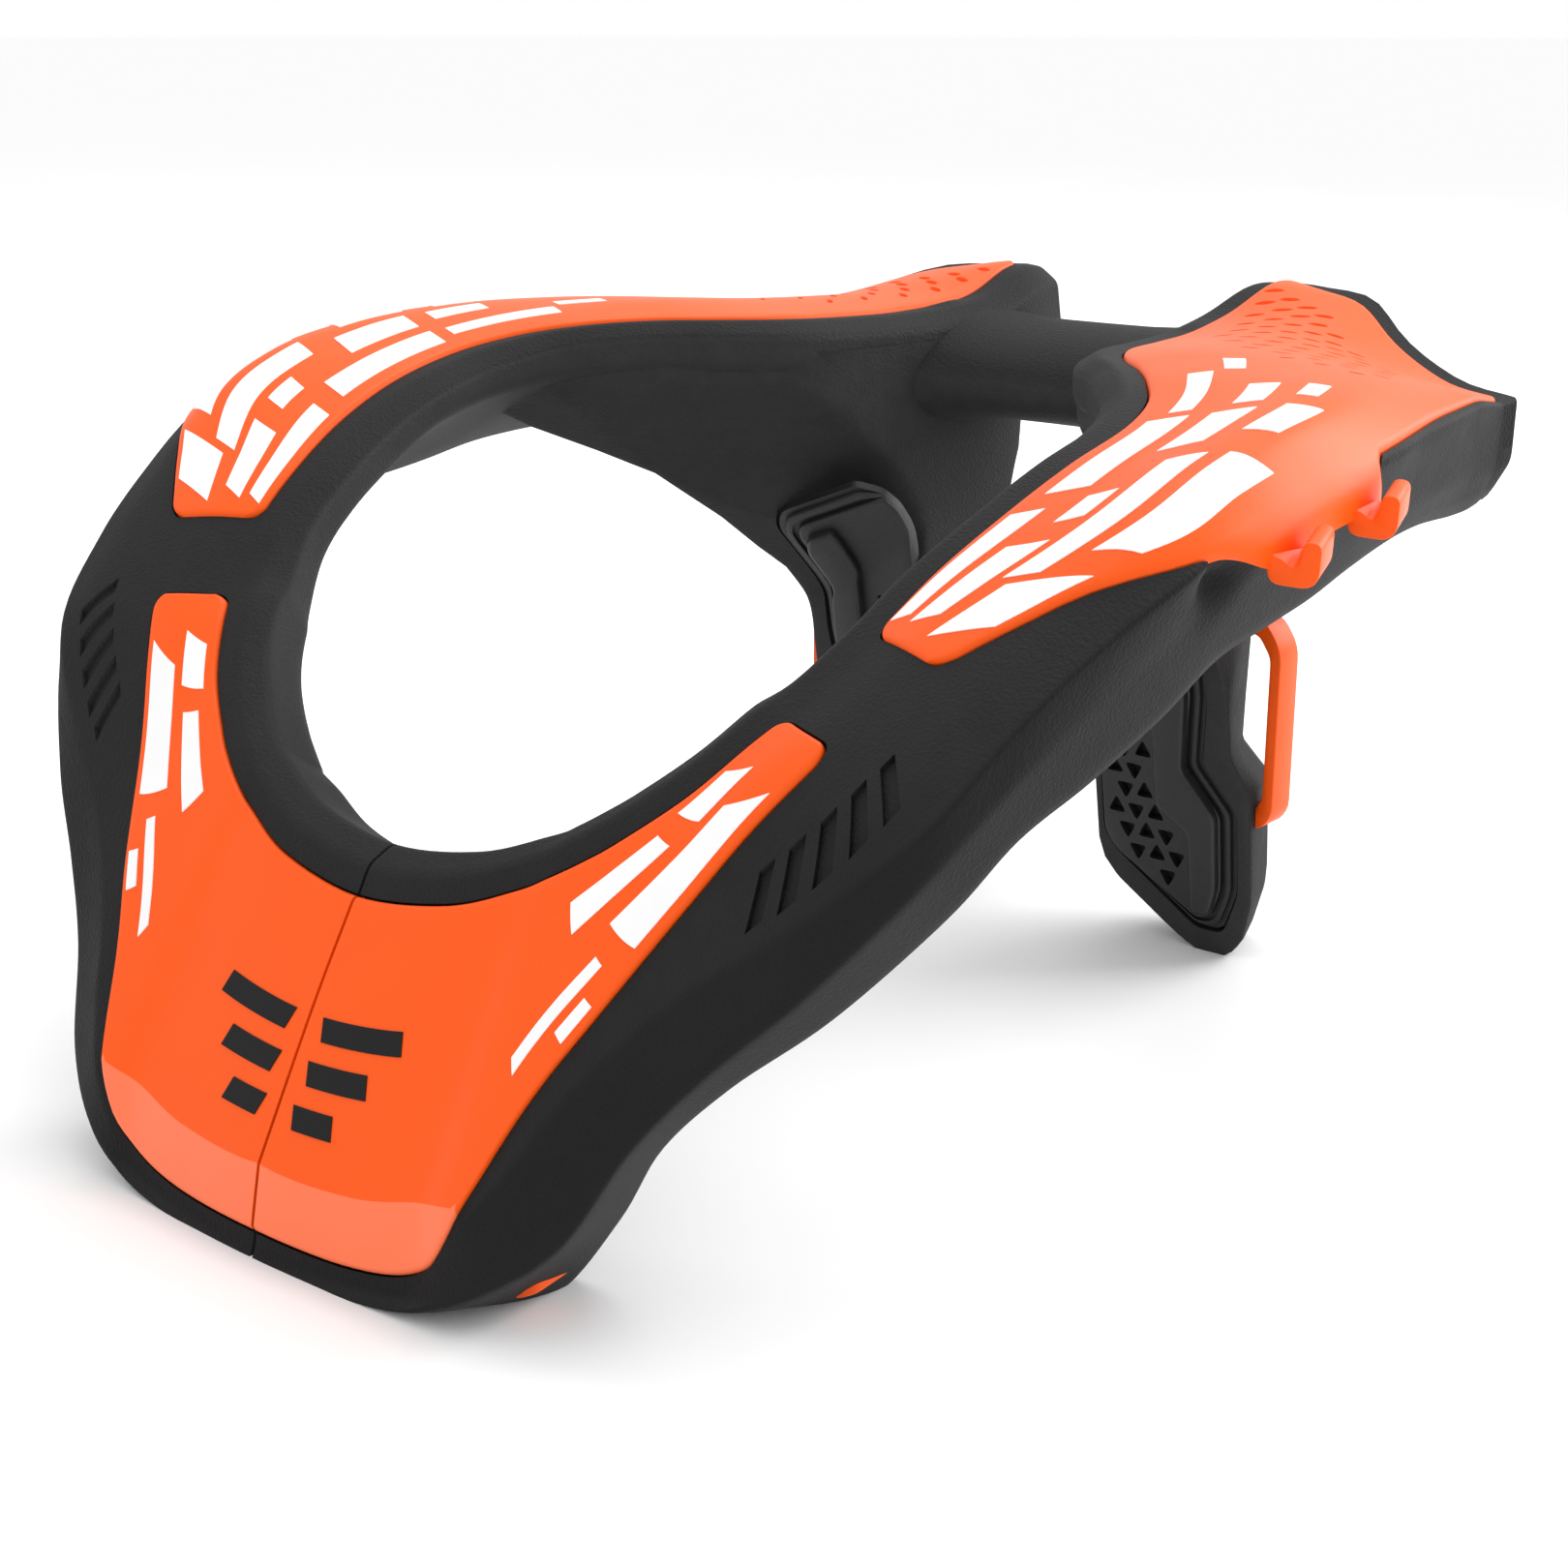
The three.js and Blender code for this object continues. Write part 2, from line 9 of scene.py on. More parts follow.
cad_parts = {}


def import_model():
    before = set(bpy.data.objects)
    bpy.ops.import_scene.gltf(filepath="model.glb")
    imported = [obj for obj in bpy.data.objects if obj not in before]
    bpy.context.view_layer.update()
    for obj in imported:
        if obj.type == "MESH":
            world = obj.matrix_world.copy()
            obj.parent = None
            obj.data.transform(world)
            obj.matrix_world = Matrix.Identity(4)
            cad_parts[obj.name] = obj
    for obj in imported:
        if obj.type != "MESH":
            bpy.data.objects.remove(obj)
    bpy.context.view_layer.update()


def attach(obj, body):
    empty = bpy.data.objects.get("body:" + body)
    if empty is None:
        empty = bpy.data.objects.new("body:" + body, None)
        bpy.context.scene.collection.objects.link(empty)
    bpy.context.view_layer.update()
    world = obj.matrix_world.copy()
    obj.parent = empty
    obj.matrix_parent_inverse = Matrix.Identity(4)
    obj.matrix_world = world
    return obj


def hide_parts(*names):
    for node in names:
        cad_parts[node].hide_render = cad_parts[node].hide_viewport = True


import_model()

# Sizes in millimetres, in the part's own coordinates: x from the middle plane, y behind the front lip,
# z above the floor. MIDDLE is how far the model's origin lies behind the lip
MM = 0.001
MIDDLE = 126.908
RIM = 5.0
BEVEL_ACROSS = 4.2
BEVEL_DEEP = 3.2
SLIT = 0.6
SLIT_DEEP = 1.0
SLIT_LAP = 0.2
FIT_GAP = 0.35
PLATE_THICK = 2.0
PLATE_PROUD = 0.7
FILM_PROUD = 0.15
FILM_THICK = 0.4
# Edges sharper than these angles, in degrees, are rounded or left sharp in shading
BEVEL_ANGLE = 60
SHARP_ANGLE = 38
# The most of a side that a bend takes, the least sine of half a corner that an inset follows, and the step
# in stations over which a direction is taken
BEND_SHARE = 0.48
CORNER_LIMIT = 0.4
NUDGE = 0.05

# Sections of one half of the collar: a is the plates' inner edge, b the outer ridge, c the crease under it,
# d the edge of the underside, then the inner wall's depth, two lifts of the top and the plate's width
COLUMNS = "ax ay az bx by bz cx cy cz dx dy dz wall hump dome plate".split()
MIRROR = np.array([-1 if name in ("ax", "bx", "cx", "dx") else 1 for name in COLUMNS])
HUMP_AT = 0.3
DOME_AT = 0.75
STATIONS = np.array([
    [0, 28.5, 49.1, 0, 2.2, 2.6, 0, 4.2, -1.2, 0, 26, -6, 16, 0.5, 0.3, 50.4],
    [17.8, 29.8, 51.4, 19, 3.2, 3, 20, 5, -0.2, 19, 27, -6, 16, 0.5, 0.3, 52.4],
    [29.1, 32.7, 55.4, 31.5, 4.2, 5, 33, 6, 2, 30.5, 28, -5, 15.5, 0.5, 0.3, 54.4],
    [34.1, 34.2, 58, 38.2, 6.6, 12.6, 43.5, 8.2, 6.6, 40, 30, -2, 15, 0.5, 0.3, 51],
    [38.9, 36.3, 60.9, 46, 13.2, 25, 54, 13.6, 15, 47, 35, 10, 14.5, 0.5, 0.3, 35.7],
    [43.3, 38.8, 64, 52.4, 20.1, 36.8, 61, 20.4, 29, 56, 34, 23.5, 14, 0.6, 0.4, 27],
    [51.1, 44.3, 70.7, 63.8, 28.4, 49.9, 69.5, 26, 40.4, 67, 35.5, 34.5, 13.5, 0.8, 0.4, 17.5],
    [57, 50.8, 77.8, 77, 34.6, 60.3, 80, 32.4, 51.6, 78.5, 43.5, 45, 13, 2, 1, 14],
    [61.5, 57.5, 83.5, 91.5, 43.2, 74, 91, 42, 66, 89, 54, 58.5, 12, 2.2, 2, 13.6],
    [65.8, 66.4, 91.3, 96.9, 55.8, 86.2, 96, 53.4, 76.8, 93, 63.5, 67.3, 10.5, 1.8, 2, 16.6],
    [68.2, 77.1, 98.6, 101.2, 68.8, 95.2, 98.4, 66, 84, 95, 77, 72.3, 9.5, 1.5, 2.5, 24.7],
    [70.6, 89.5, 105, 106, 84, 103.2, 101, 82, 91, 97, 91, 78.5, 9.2, 1.8, 4.4, 34.2],
    [71.9, 103.1, 110.2, 107.8, 97.5, 107, 102.5, 96, 95.5, 98, 103, 84.5, 8.2, 2.2, 5.8, 35],
    [71.9, 117.5, 113.7, 108, 112, 109.6, 102.8, 111, 98, 97.8, 116, 86.5, 8, 2.6, 6, 35.4],
    [68.3, 129.9, 116, 107.5, 126, 110.8, 102.4, 126, 99, 97.5, 129, 88.3, 8.2, 3, 5.8, 38.4],
    [61.8, 140.3, 117.4, 106, 140, 111.6, 101.6, 140, 99.8, 97, 141, 90.7, 8.6, 3.4, 5.4, 43],
    [54.3, 150, 117.9, 103.5, 152, 112, 100, 152, 100.2, 96, 152, 92, 8.8, 3.6, 5, 48],
    [46, 159, 117.9, 101.5, 163, 112.2, 98.5, 163, 100.2, 94.8, 162.5, 92.7, 9.4, 3.8, 4.4, 54],
    [39.3, 170, 117.6, 99.5, 173, 112.2, 97, 173, 100.2, 93.5, 173, 92.8, 10.5, 3.6, 3.4, 58.5],
    [35.4, 184.9, 117.1, 97.5, 182, 112.1, 95.5, 182, 100.2, 92.3, 182, 92.2, 12, 3.2, 2.2, 60.4],
    [32.4, 201.5, 117.1, 96, 190, 112, 94, 190, 99.6, 91.2, 190, 91.5, 14, 2.8, 0.8, 62.8],
    [29.9, 219.3, 118.7, 94.5, 196.5, 111.2, 93.2, 197, 99.4, 90.7, 197.5, 91.4, 16, 2, -0.8, 66.8],
    [31.2, 241.1, 123.1, 93.4, 202.6, 110.4, 92.6, 203.4, 99.6, 90.2, 202.5, 91.8, 16, 0.8, -2.4, 72],
    [31.4, 244.1, 123.9, 94, 206.2, 111, 93.4, 207.2, 100.4, 90, 204, 92.4, 16, 0.8, -2.4, 72],
])
LAST = len(STATIONS) - 1

# Plates, from station to station, with the radius of their corners and how far the outer end runs on
FRONT_PLATE = dict(start=0.0, end=7.6, corner=3.2, round_start=False, skew=3.2, flanged=False)
REAR_PLATE = dict(start=9.0, end=LAST - 1.0, corner=3.2, round_start=True, skew=0.0, flanged=True)
EDGE_ROUND = 0.9
EDGE_STEPS = (0.0, 0.1, 0.27, 0.5, 0.9)
END_STEPS = (1.4, 2.0, 2.6, 3.3, 4.2)
WAY_STEP = 1.4
SKEW_LENGTH = 30
PLATE_RUN_ON = 0.6
PLATE_SAMPLES = 261
# Columns of points across a plate: up to the crease and beside it, then over the margin
CREASE_STEP = 20
CREASE_GAP = 0.35
MARGIN_STEPS = 8
# The furthest the crease's columns lie across, as a share of the width that drops over these stations
CREASE_SHARE = dict(bib=0.97, drop=0.3, stations=(3.3, 4.3))
LOW_SHARE = 0.2

# The end of the wings: stations where its shape comes in, then the bulge of the rear edge, the cut at its
# corner and the rise of the crest, each as size, place and reach, and the crest's reach across
TAIL = (20.4, 22.4)
TAIL_BULGE = (5.0, 22.0, 12.0)
TAIL_CUT = (8.0, -9.5, 7.5)
TAIL_CREST = (1.8, 21.65, 0.4)
CREST_WIDE = 12.0

# The foam's section: points over its top and the part of the width they fill, then for its corners the reach
# of the bend and the points filled in after it. RIM_BEND is the first corner's reach
TOP_POINTS = 15
TOP_PART = 0.94
RIM_BEND = 1.2
CORNER_BENDS = (1.2, 1.5, 4, 3, 1.3)
CORNER_FILLS = (5, 4, 4, 3, 1)
RINGS_PER_STATION = 8
# The rounded end of a wing: steps behind the last section and in from its edge
END_ROUND = ((0.5, 0.25), (0.9, 0.7), (1.1, 1.2))

# The chamfered lower margin of the front plates: its crease as a distance across that grows by station, the
# stations over which the fall runs out beside the plates, and its slope
CHAMFER = dict(crease=40.9, per_station=2.0, fade_from=2.9, fade_to=3.8, slope=0.3)

# The flange on the outer edge of a rear plate: stations where it swells out and ends, and its section as
# distances out from the plate's edge and down
FLANGE = dict(start=11.15, full=12.0, shrink=14.25, end=14.5)
FLANGE_CURVE = ((-0.9, 0), (0.3, 0.25), (1.3, 1.1), (2.0, 2.6), (2.4, 4.4), (2.6, 6.4))
EDGE_COLUMNS = 12

# Strap hooks: stations, width, and the outline as distances out and up from the flange's foot
HOOK_STATIONS = (12.2, 13.9)
HOOK_WIDE = 8.0
HOOK_OUTLINE = (
    (-2.4, 2.4), (-1.8, -2), (3.6, -2.4), (5, -1.2), (5.2, 3.8), (2.6, 4), (2.4, 1.2), (1.4, 0.2),
    (0.2, 1.2),
)
HOOK_ROUND = (0.5, 1.6, 1.4, 1.4, 1.2, 1.2, 1.0, 1.0, 0.8)
HOOK_TURN = 0.28
HOOK_RISE = 0.15
HOOK_BEVEL = 0.7

# Small dashes pressed into the wings, in rows from the crest forward: the first row's place along the plate,
# the step to the next row and its growth, each dash's step back, places across and the row where they stop
# moving out, sizes, the share at the bottom, how far cutters stand out, and the turn and its growth by row
DASH = dict(
    first=167.5, step=3.6, more=0.9, slant=1.0, first_u=3.6, step_u=1.8, last_step=4, pitch_u=5.8,
    long=4.4, wide=1.2, deep=0.8, bottom=0.6, open=0.6, turn=0.36, turn_more=0.06,
)
DASH_POINTS = 12
DASH_ROWS = ((0, 4), (0, 5), (0, 6), (0, 7), (0, 7), (0, 7), (1, 7), (2, 7), (3, 6))

# White bars printed on the plates: way from, way to, part across from, part across to. BAR_LEAN is how far
# a bar leans along the plate over the part BAR_PART of its width
BAR_LEAN = 2.4
BAR_PART = 0.15
REAR_BARS = (
    (3, 30, 0.06, 0.20), (4, 22, 0.28, 0.46), (16, 46, 0.52, 0.68), (3, 15, 0.60, 0.94),
    (24, 50, 0.76, 0.92), (36, 62, 0.10, 0.28), (29, 36, 0.34, 0.46), (50, 66, 0.38, 0.56),
    (58, 72, 0.66, 0.80), (66, 88, 0.16, 0.26), (71, 82, 0.42, 0.54), (78, 86, 0.64, 0.72),
    (92, 101, 0.30, 0.38),
)
FRONT_BARS = (
    (64, 85, 0.52, 0.88), (52, 72, 0.18, 0.36), (76, 86, 0.12, 0.40), (46, 62, 0.64, 0.74),
    (56, 61, 0.82, 0.93),
)
# Black bars on the bib, printed the same way
BIB_BARS = ((3, 19, 0.36, 0.43), (3, 15, 0.49, 0.56), (3, 11, 0.62, 0.69))

# Slots pressed into the arms beside the front plates: station from, station to, distance out from, to
SLOTS = (
    (6.75, 6.92, 20.5, 27), (7.05, 7.22, 21, 28), (7.35, 7.52, 21.5, 28.5), (7.65, 7.82, 22, 29),
    (7.95, 8.12, 22.5, 29.5),
)
SLOT_LEAN = 0.12
SLOT_DEEP = 0.9
# How far the cutters for slots and for plate seats stand out of the foam
SLOT_OPEN = 3.0
SEAT_OPEN = 5.0
# Steps along and across a thin solid laid on a surface
PATCH_LONG = 24
PATCH_WIDE = 8

# A leg's front: a sloping arch under the wing and a steep lower face, each as its place behind the lip and
# how far it comes forward by x and by height, softly blended
LEG_PLANES = ((288.7, 0.635, 1.07), (204.9, 0.0, 0.16))
LEG_BLEND = 3.0
# The cut rear outer corner, across and along
LEG_TAPER = (6.0, 18.0)
# Rows of a leg by height: x of the inner and outer edges, the rear, and how far the front flares out
LEG_ROWS = np.array([
    [0, 40, 46.5, 215.5, 0], [1.2, 37.4, 48.2, 217, 0], [4, 33, 50.2, 218.5, 0],
    [11.5, 22.6, 52.2, 219, 0], [15, 19.8, 52.4, 219, 0], [19, 18.7, 52.5, 218.5, 0],
    [34.5, 18.6, 52.6, 217, 0], [41.5, 18.6, 49, 212.5, 0], [66, 18.8, 49, 214, 0],
    [71, 19, 51, 219, 0], [78, 20, 53, 224, 0], [88, 20.5, 57.5, 228, 0.5],
    [93, 20.5, 60, 228.5, 4.5], [98, 20.5, 62, 229, 10], [104, 20.5, 66, 226, 12],
    [112, 20.5, 72, 219, 12],
])
LEG_RINGS = 113
LEG_FRONT_POINTS = 13
LEG_INNER_POINTS = 9
# Bends of a leg's corners, from the front's inner one round by the outer side
LEG_BENDS = (3, 2.5, 3, 5, 2)
# Heights over which a leg's inner side turns into the collar's inner wall, and how far it stands out of it
LEG_JOINS = (64, 86)
LEG_WALL_PROUD = 0.2
LEG_WALL_FROM = 12
LEG_WALL_POINTS = 81
# How far the front face falls back towards its inner edge near the top, and over what width
LEG_FALL = dict(back=15, height=(64, 90), width=(8, 32), widening=(66, 90))
# How far the top of the leg's inner side sinks into the collar, by height and by y
LEG_SINK = dict(deep=1.6, height=(99, 109), back=(158, 174))
# How far the foam stands forward around a pad, the gap beside it, and the reach of the seat's cutter
LEG_RAISE = 2.6
SEAT_GAP = 0.5
PAD_SEAT = (-0.2, LEG_RAISE + 1.2)
# What is cut off at the floor: its outline and depth
GROUND = ((-160, -60), (160, -60), (160, 340), (-160, 340))
GROUND_DEEP = 40

# Soft hollows in the foam's side below the flanges' front ends: place, reach and depth
HOLLOWS = (((106.5, 92.0, 100.5), 5.0, 4.0),)

# The bridge behind the neck: x, middle, height, half depth, half height
BRIDGE_ROWS = np.array([
    [0, 217, 106, 18.4, 8.6], [10, 217, 106, 18.6, 8.6], [16, 216.8, 106, 19, 8.9],
    [20, 216, 106, 19.2, 9.5], [24, 214.4, 106, 19.6, 10.6], [28, 211, 106, 19, 12.4],
    [32, 207, 106, 14, 11], [36, 204, 106, 9, 8],
])
BRIDGE_RINGS = 49
BRIDGE_POINTS = 44
BRIDGE_TILT = 0.17

# Back pads, as x and height on the leg's front: the outline, how far each of its corners follows the
# terraces inwards, the terraces as inset and height, the raised band and the fields of pockets
PAD_OUTLINE = (
    (22.2, 86), (26, 87.5), (42, 81), (44.4, 77), (44.4, 53), (42.8, 39.5), (49.8, 30.8), (49.4, 14),
    (46, 5.5), (40.5, 5.5), (23.5, 18.2), (21, 22), (21, 83),
)
PAD_SHARE = (0.02, 1, 1, 1, 1, 1, 1, 1, 1, 0.6, 0.02, 0.02, 0.02)
PAD_ROUND = (1, 1, 2, 1.5, 1.2, 1.4, 1.4, 2, 2, 1.5, 1.5, 1.5, 1)
PAD_TERRACES = ((0.0, 1.5), (0.9, 2.5), (1.9, 1.7), (2.9, 3.0))
PAD_BAND = (
    (40.8, 9.5), (40.8, 25.8), (34, 30.2), (34, 79), (39.5, 77), (41.2, 74), (41.2, 53), (39.8, 38.6),
    (46.6, 30), (46.2, 15), (44.5, 9.5),
)
PAD_BAND_ROUND = (1.2, 1.4, 1.4, 1.5, 1.5, 1.5, 1.2, 1.4, 1.4, 1.5, 1.2)
PAD_BAND_HIGH = 4.9
PAD_BEVELS = dict(ledge=0.4, plateau=0.5, band=1.4)
# A height above every terrace, and the cuts that let a flat pad bend, as distances from the planes' meeting
PAD_CLEAR = 9
PAD_BEND_CUTS = (-4, -2, -1, 0, 1, 2, 4)
POCKET_FIELDS = (((22.5, 21), (24.5, 18.2), (39.6, 8.4), (39.8, 25), (33.2, 30), (22.5, 30)),
                 ((22.5, 26), (32.8, 26), (32.8, 62), (22.5, 62)))
POCKET = dict(
    side=4.0, margin=0.4, pitch_x=4.3, pitch_up=4.2, floor=1.0, rows=13, per_row=4, first_x=24.3,
    first_up=10.8, bend=0.8,
)

# The strap loop on a leg's outer side, as x and height, with its width from front to back
LOOP_OUTLINE = (
    (44.5, 27), (53, 27), (55.1, 30), (55.1, 61.5), (51.4, 67), (43.5, 67), (43.5, 64), (50.2, 64),
    (52.9, 60), (52.9, 33), (51.2, 30), (44.5, 30),
)
LOOP_ROUND = (0.3, 1.6, 1.6, 2.6, 2.6, 0.3, 0.3, 1.4, 1.4, 1.0, 1.0, 0.3)
LOOP_BACK = 205.0
LOOP_WIDE = 6.8
LOOP_BEVEL = 0.6

# The tab under the front lip: half sizes, place and turns
TAB_HALF = (2.5, 6.0, 1.0)
TAB_PLACE = (42.2, 23.5, 4.2)
TAB_TURN = 0.14
TAB_ROLL = -0.45
TAB_ROUND = 2
TAB_BEVEL = 0.45

# Materials: dark and light colours, the range of roughness, mottles and grains per metre, the strength of
# the grain and its depth in metres, and gloss
FINE = dict(grain=900, bump=0.02, depth=0.0001)
MATERIALS = dict(
    floor_paper=dict(dark=(0.96, 0.96, 0.96), light=(0.98, 0.98, 0.98), rough=(0.85, 0.95),
                     mottle=8, grain=300, bump=0.02, depth=0.0002, gloss=0.5),
    foam_charcoal=dict(dark=(0.011, 0.011, 0.0115), light=(0.017, 0.017, 0.0175), rough=(0.6, 0.76),
                       mottle=260, grain=1700, bump=0.4, depth=0.0003, gloss=0.12),
    shell_orange=dict(FINE, dark=(0.90, 0.092, 0.002), light=(0.94, 0.100, 0.003), rough=(0.38, 0.46),
                      mottle=90, gloss=0.2),
    # Front plates' chamfered margin: its lighter, paler salmon is a painted reflection
    margin_painted_reflection=dict(FINE, dark=(0.94, 0.165, 0.055), light=(0.97, 0.18, 0.065), rough=(0.32, 0.40),
                      mottle=90, gloss=0.35),
    print_white=dict(FINE, dark=(0.86, 0.86, 0.86), light=(0.92, 0.92, 0.92), rough=(0.36, 0.44),
                     mottle=120, gloss=0.5),
    print_black=dict(FINE, dark=(0.010, 0.010, 0.0105), light=(0.014, 0.014, 0.0145), rough=(0.5, 0.6),
                     mottle=120, gloss=0.12),
    pad_rubber=dict(dark=(0.008, 0.008, 0.0085), light=(0.013, 0.013, 0.0135), rough=(0.42, 0.55),
                    mottle=300, grain=1600, bump=0.12, depth=0.0003, gloss=0.45),
)
MOTTLE_DETAIL = 4.0
# Painted light and shade on the foam: factors on its colour that darken facets facing out from the neck
# and lighten those facing in, up and down; the ranges of facing over which they blend, and the middle of
# the neck opening in metres, from which facing in or out is judged
FOAM_PAINTED_LIGHT = dict(outer=0.78, inner=2.3, top=1.3, under=2.0)
FACING_OUT = (-0.5, 0.5)
FACING_UP = (0.3, 0.65)
FACING_DOWN = (-0.2, -0.5)
NECK_MIDDLE = (0.0, -0.022)

# Camera: its place in metres, its axes, and the lens and the picture's width in pixels
CAMERA = dict(
    place=(0.26599, -0.31998, 0.17073), right=(0.76796, 0.64050, 0.0), up=(-0.18779, 0.22516, 0.95605),
    away=(0.61235, -0.73421, 0.29319), lens_pixels=2550, picture_pixels=1620, sensor=36.0, near=0.01,
)
FLOOR_HALF = 40.0
# Lights: name, place and size in metres, power in watts; both point at LIGHT_TARGET
LIGHTS = (("key", (0.55, 1.05, 0.7), 0.9, 14), ("top", (-0.2, 0.5, 1.3), 0.8, 6))
LIGHT_TARGET = (0, 0, 0.06)


def world(point):
    """A place in millimetres as model coordinates in metres."""
    return (point[0] * MM, (point[1] - MIDDLE) * MM, point[2] * MM)


# Sections

def smooth_row(table, s, mirror=None):
    """A row of a table at a fractional station, on a smooth curve through its rows."""
    last = len(table) - 1
    i = min(max(int(math.floor(s)), 0), last - 1)
    f = s - i
    p1, p2 = table[i], table[i + 1]
    p0 = table[i - 1] if i > 0 else 2 * p1 - p2 if mirror is None else p2 * mirror
    p3 = table[i + 2] if i + 2 <= last else 2 * p2 - p1
    slope = (p2 - p0) / 2
    bend = p0 - 2.5 * p1 + 2 * p2 - p3 / 2
    twist = (3 * (p1 - p2) + p3 - p0) / 2
    return p1 + f * (slope + f * (bend + f * twist))


def unit(vector):
    """A vector of length one the same way."""
    return vector / np.linalg.norm(vector)


def ease(value, low, high):
    """Rises smoothly from 0 at low to 1 at high."""
    t = min(max((value - low) / (high - low), 0.0), 1.0)
    return t * t * (3 - 2 * t)


def bell(value, size, at, reach):
    """A soft bump."""
    return size * math.exp(-((value - at) / reach) ** 2)


def crease_at(s):
    """Distance across of the crease above the chamfered margin."""
    return CHAMFER["crease"] + CHAMFER["per_station"] * s


class Section:
    """The collar's section at a station, with its own frame."""

    def __init__(self, s):
        row = smooth_row(STATIONS, s, MIRROR)
        self.s = s
        self.a, self.b, self.c, self.d = row[0:3], row[3:6], row[6:9], row[9:12]
        self.wall, self.hump, self.dome, self.plate = row[12:16]
        ahead, behind = min(s + NUDGE, LAST), max(s - NUDGE, 0)
        along = smooth_row(STATIONS, ahead, MIRROR)[:3] - smooth_row(STATIONS, behind, MIRROR)[:3]
        if s == 0:
            along = np.array([1.0, 0, 0])
        self.along = unit(along)
        self.width = np.linalg.norm(self.b - self.a)
        self.across = (self.b - self.a) / self.width
        self.deep = unit(np.cross(along, self.across))

    def place(self, u, d):
        """A place at a distance across from a and a depth, with the end of the wing shaped."""
        point = self.a + self.across * u + self.deep * d
        grown = ease(self.s, *TAIL)
        if grown == 0:
            return point
        shift = bell(u, *TAIL_BULGE) - bell(u, *TAIL_CUT)
        rise = bell(self.s, *TAIL_CREST) * bell(u, 1, 0, CREST_WIDE)
        return point + self.along * shift * grown + np.array([0, 0, rise])

    def margin(self):
        """Width of the plate's chamfered margin."""
        return max(0.0, self.plate - crease_at(self.s)) if self.s < CHAMFER["fade_to"] else 0.0

    def chamfer(self, u):
        """How far the lower margin of the bib falls back at u."""
        fade = 1 - ease(self.s, CHAMFER["fade_from"], CHAMFER["fade_to"])
        return CHAMFER["slope"] * fade * max(0.0, u - crease_at(self.s))

    def lift(self, u):
        """Height of the top surface above the line from a to b."""
        t = min(max(u / self.width, 0.0), 1.0)
        knots = ((0.0, 0.0), (HUMP_AT, self.hump), (DOME_AT, self.dome), (1.0, 0.0))
        i = 0 if t < HUMP_AT else 1 if t < DOME_AT else 2

        def slope(k):
            low, high = knots[max(k - 1, 0)], knots[min(k + 1, 3)]
            return (high[1] - low[1]) / (high[0] - low[0])

        span = knots[i + 1][0] - knots[i][0]
        f = (t - knots[i][0]) / span
        rise = knots[i][1] * (1 + 2 * f) * (1 - f) ** 2 + knots[i + 1][1] * f * f * (3 - 2 * f)
        rise += span * (slope(i) * f * (1 - f) ** 2 - slope(i + 1) * f * f * (1 - f))
        return rise - self.chamfer(u)

    def top(self, u, above=0.0):
        """A place on or above the top surface."""
        return self.place(u, -self.lift(u) - above)


# Mesh helpers

def linked(name, data):
    """A new object in the scene."""
    obj = bpy.data.objects.new(name, data)
    bpy.context.scene.collection.objects.link(obj)
    return obj


def mesh_object(name, points, faces, place=world, marks=None):
    """A new mesh with its faces turned outwards; marks are the faces' material numbers."""
    mesh = bpy.data.meshes.new(name)
    mesh.from_pydata([place(p) for p in points], [], faces)
    if marks is not None:
        mesh.polygons.foreach_set("material_index", marks)
    mesh.validate()
    obj = linked(name, mesh)
    outward(obj)
    return obj


def remove(obj):
    mesh = obj.data
    bpy.data.objects.remove(obj)
    bpy.data.meshes.remove(mesh)


def bake(obj):
    """Applies an object's modifiers."""
    bpy.context.view_layer.update()
    evaluated = obj.evaluated_get(bpy.context.evaluated_depsgraph_get())
    old = obj.data
    fresh = bpy.data.meshes.new_from_object(evaluated)
    obj.modifiers.clear()
    obj.data = fresh
    bpy.data.meshes.remove(old)


def outward(obj):
    """Turns every face outwards."""
    bm = bmesh.new()
    bm.from_mesh(obj.data)
    bmesh.ops.remove_doubles(bm, verts=bm.verts, dist=1e-7)
    bmesh.ops.recalc_face_normals(bm, faces=bm.faces)
    bm.to_mesh(obj.data)
    bm.free()


def combine(obj, other, operation):
    """A boolean with another object, which is used up."""
    step = obj.modifiers.new(operation, "BOOLEAN")
    step.operation = operation
    step.object = other
    step.solver = "MANIFOLD"
    bake(obj)
    remove(other)


def mirrored(obj, name):
    """A copy of an object on the other side of the middle plane."""
    mesh = obj.data.copy()
    mesh.transform(Matrix.Scale(-1, 4, (1, 0, 0)))
    mesh.flip_normals()
    return linked(name, mesh)


def bevel(obj, width, segments=3):
    """Rounds the sharp edges."""
    step = obj.modifiers.new("bevel", "BEVEL")
    step.width = width * MM
    step.segments = segments
    step.limit_method = "ANGLE"
    step.angle_limit = math.radians(BEVEL_ANGLE)
    bake(obj)


def shade(obj):
    """Smooth shading that keeps sharp edges."""
    obj.data.shade_smooth()
    obj.data.set_sharp_from_angle(angle=math.radians(SHARP_ANGLE))


def rings_mesh(name, rings):
    """A closed mesh through rings of equal counts, with fans over both ends."""
    count = len(rings[0])
    points = [p for ring in rings for p in ring]
    faces = ring_faces(len(rings), count)
    for ring, base, turn in ((rings[0], 0, True), (rings[-1], (len(rings) - 1) * count, False)):
        centre = len(points)
        points.append(np.mean(ring, axis=0))
        for k in range(count):
            a, b = base + k, base + (k + 1) % count
            faces.append((b, a, centre) if turn else (a, b, centre))
    return mesh_object(name, points, faces)


def ring_faces(rings, count):
    """Faces between neighbouring rings of equal counts."""
    faces = []
    for r in range(rings - 1):
        for k in range(count):
            a, b = r * count + k, r * count + (k + 1) % count
            faces.append((a, b, b + count, a + count))
    return faces


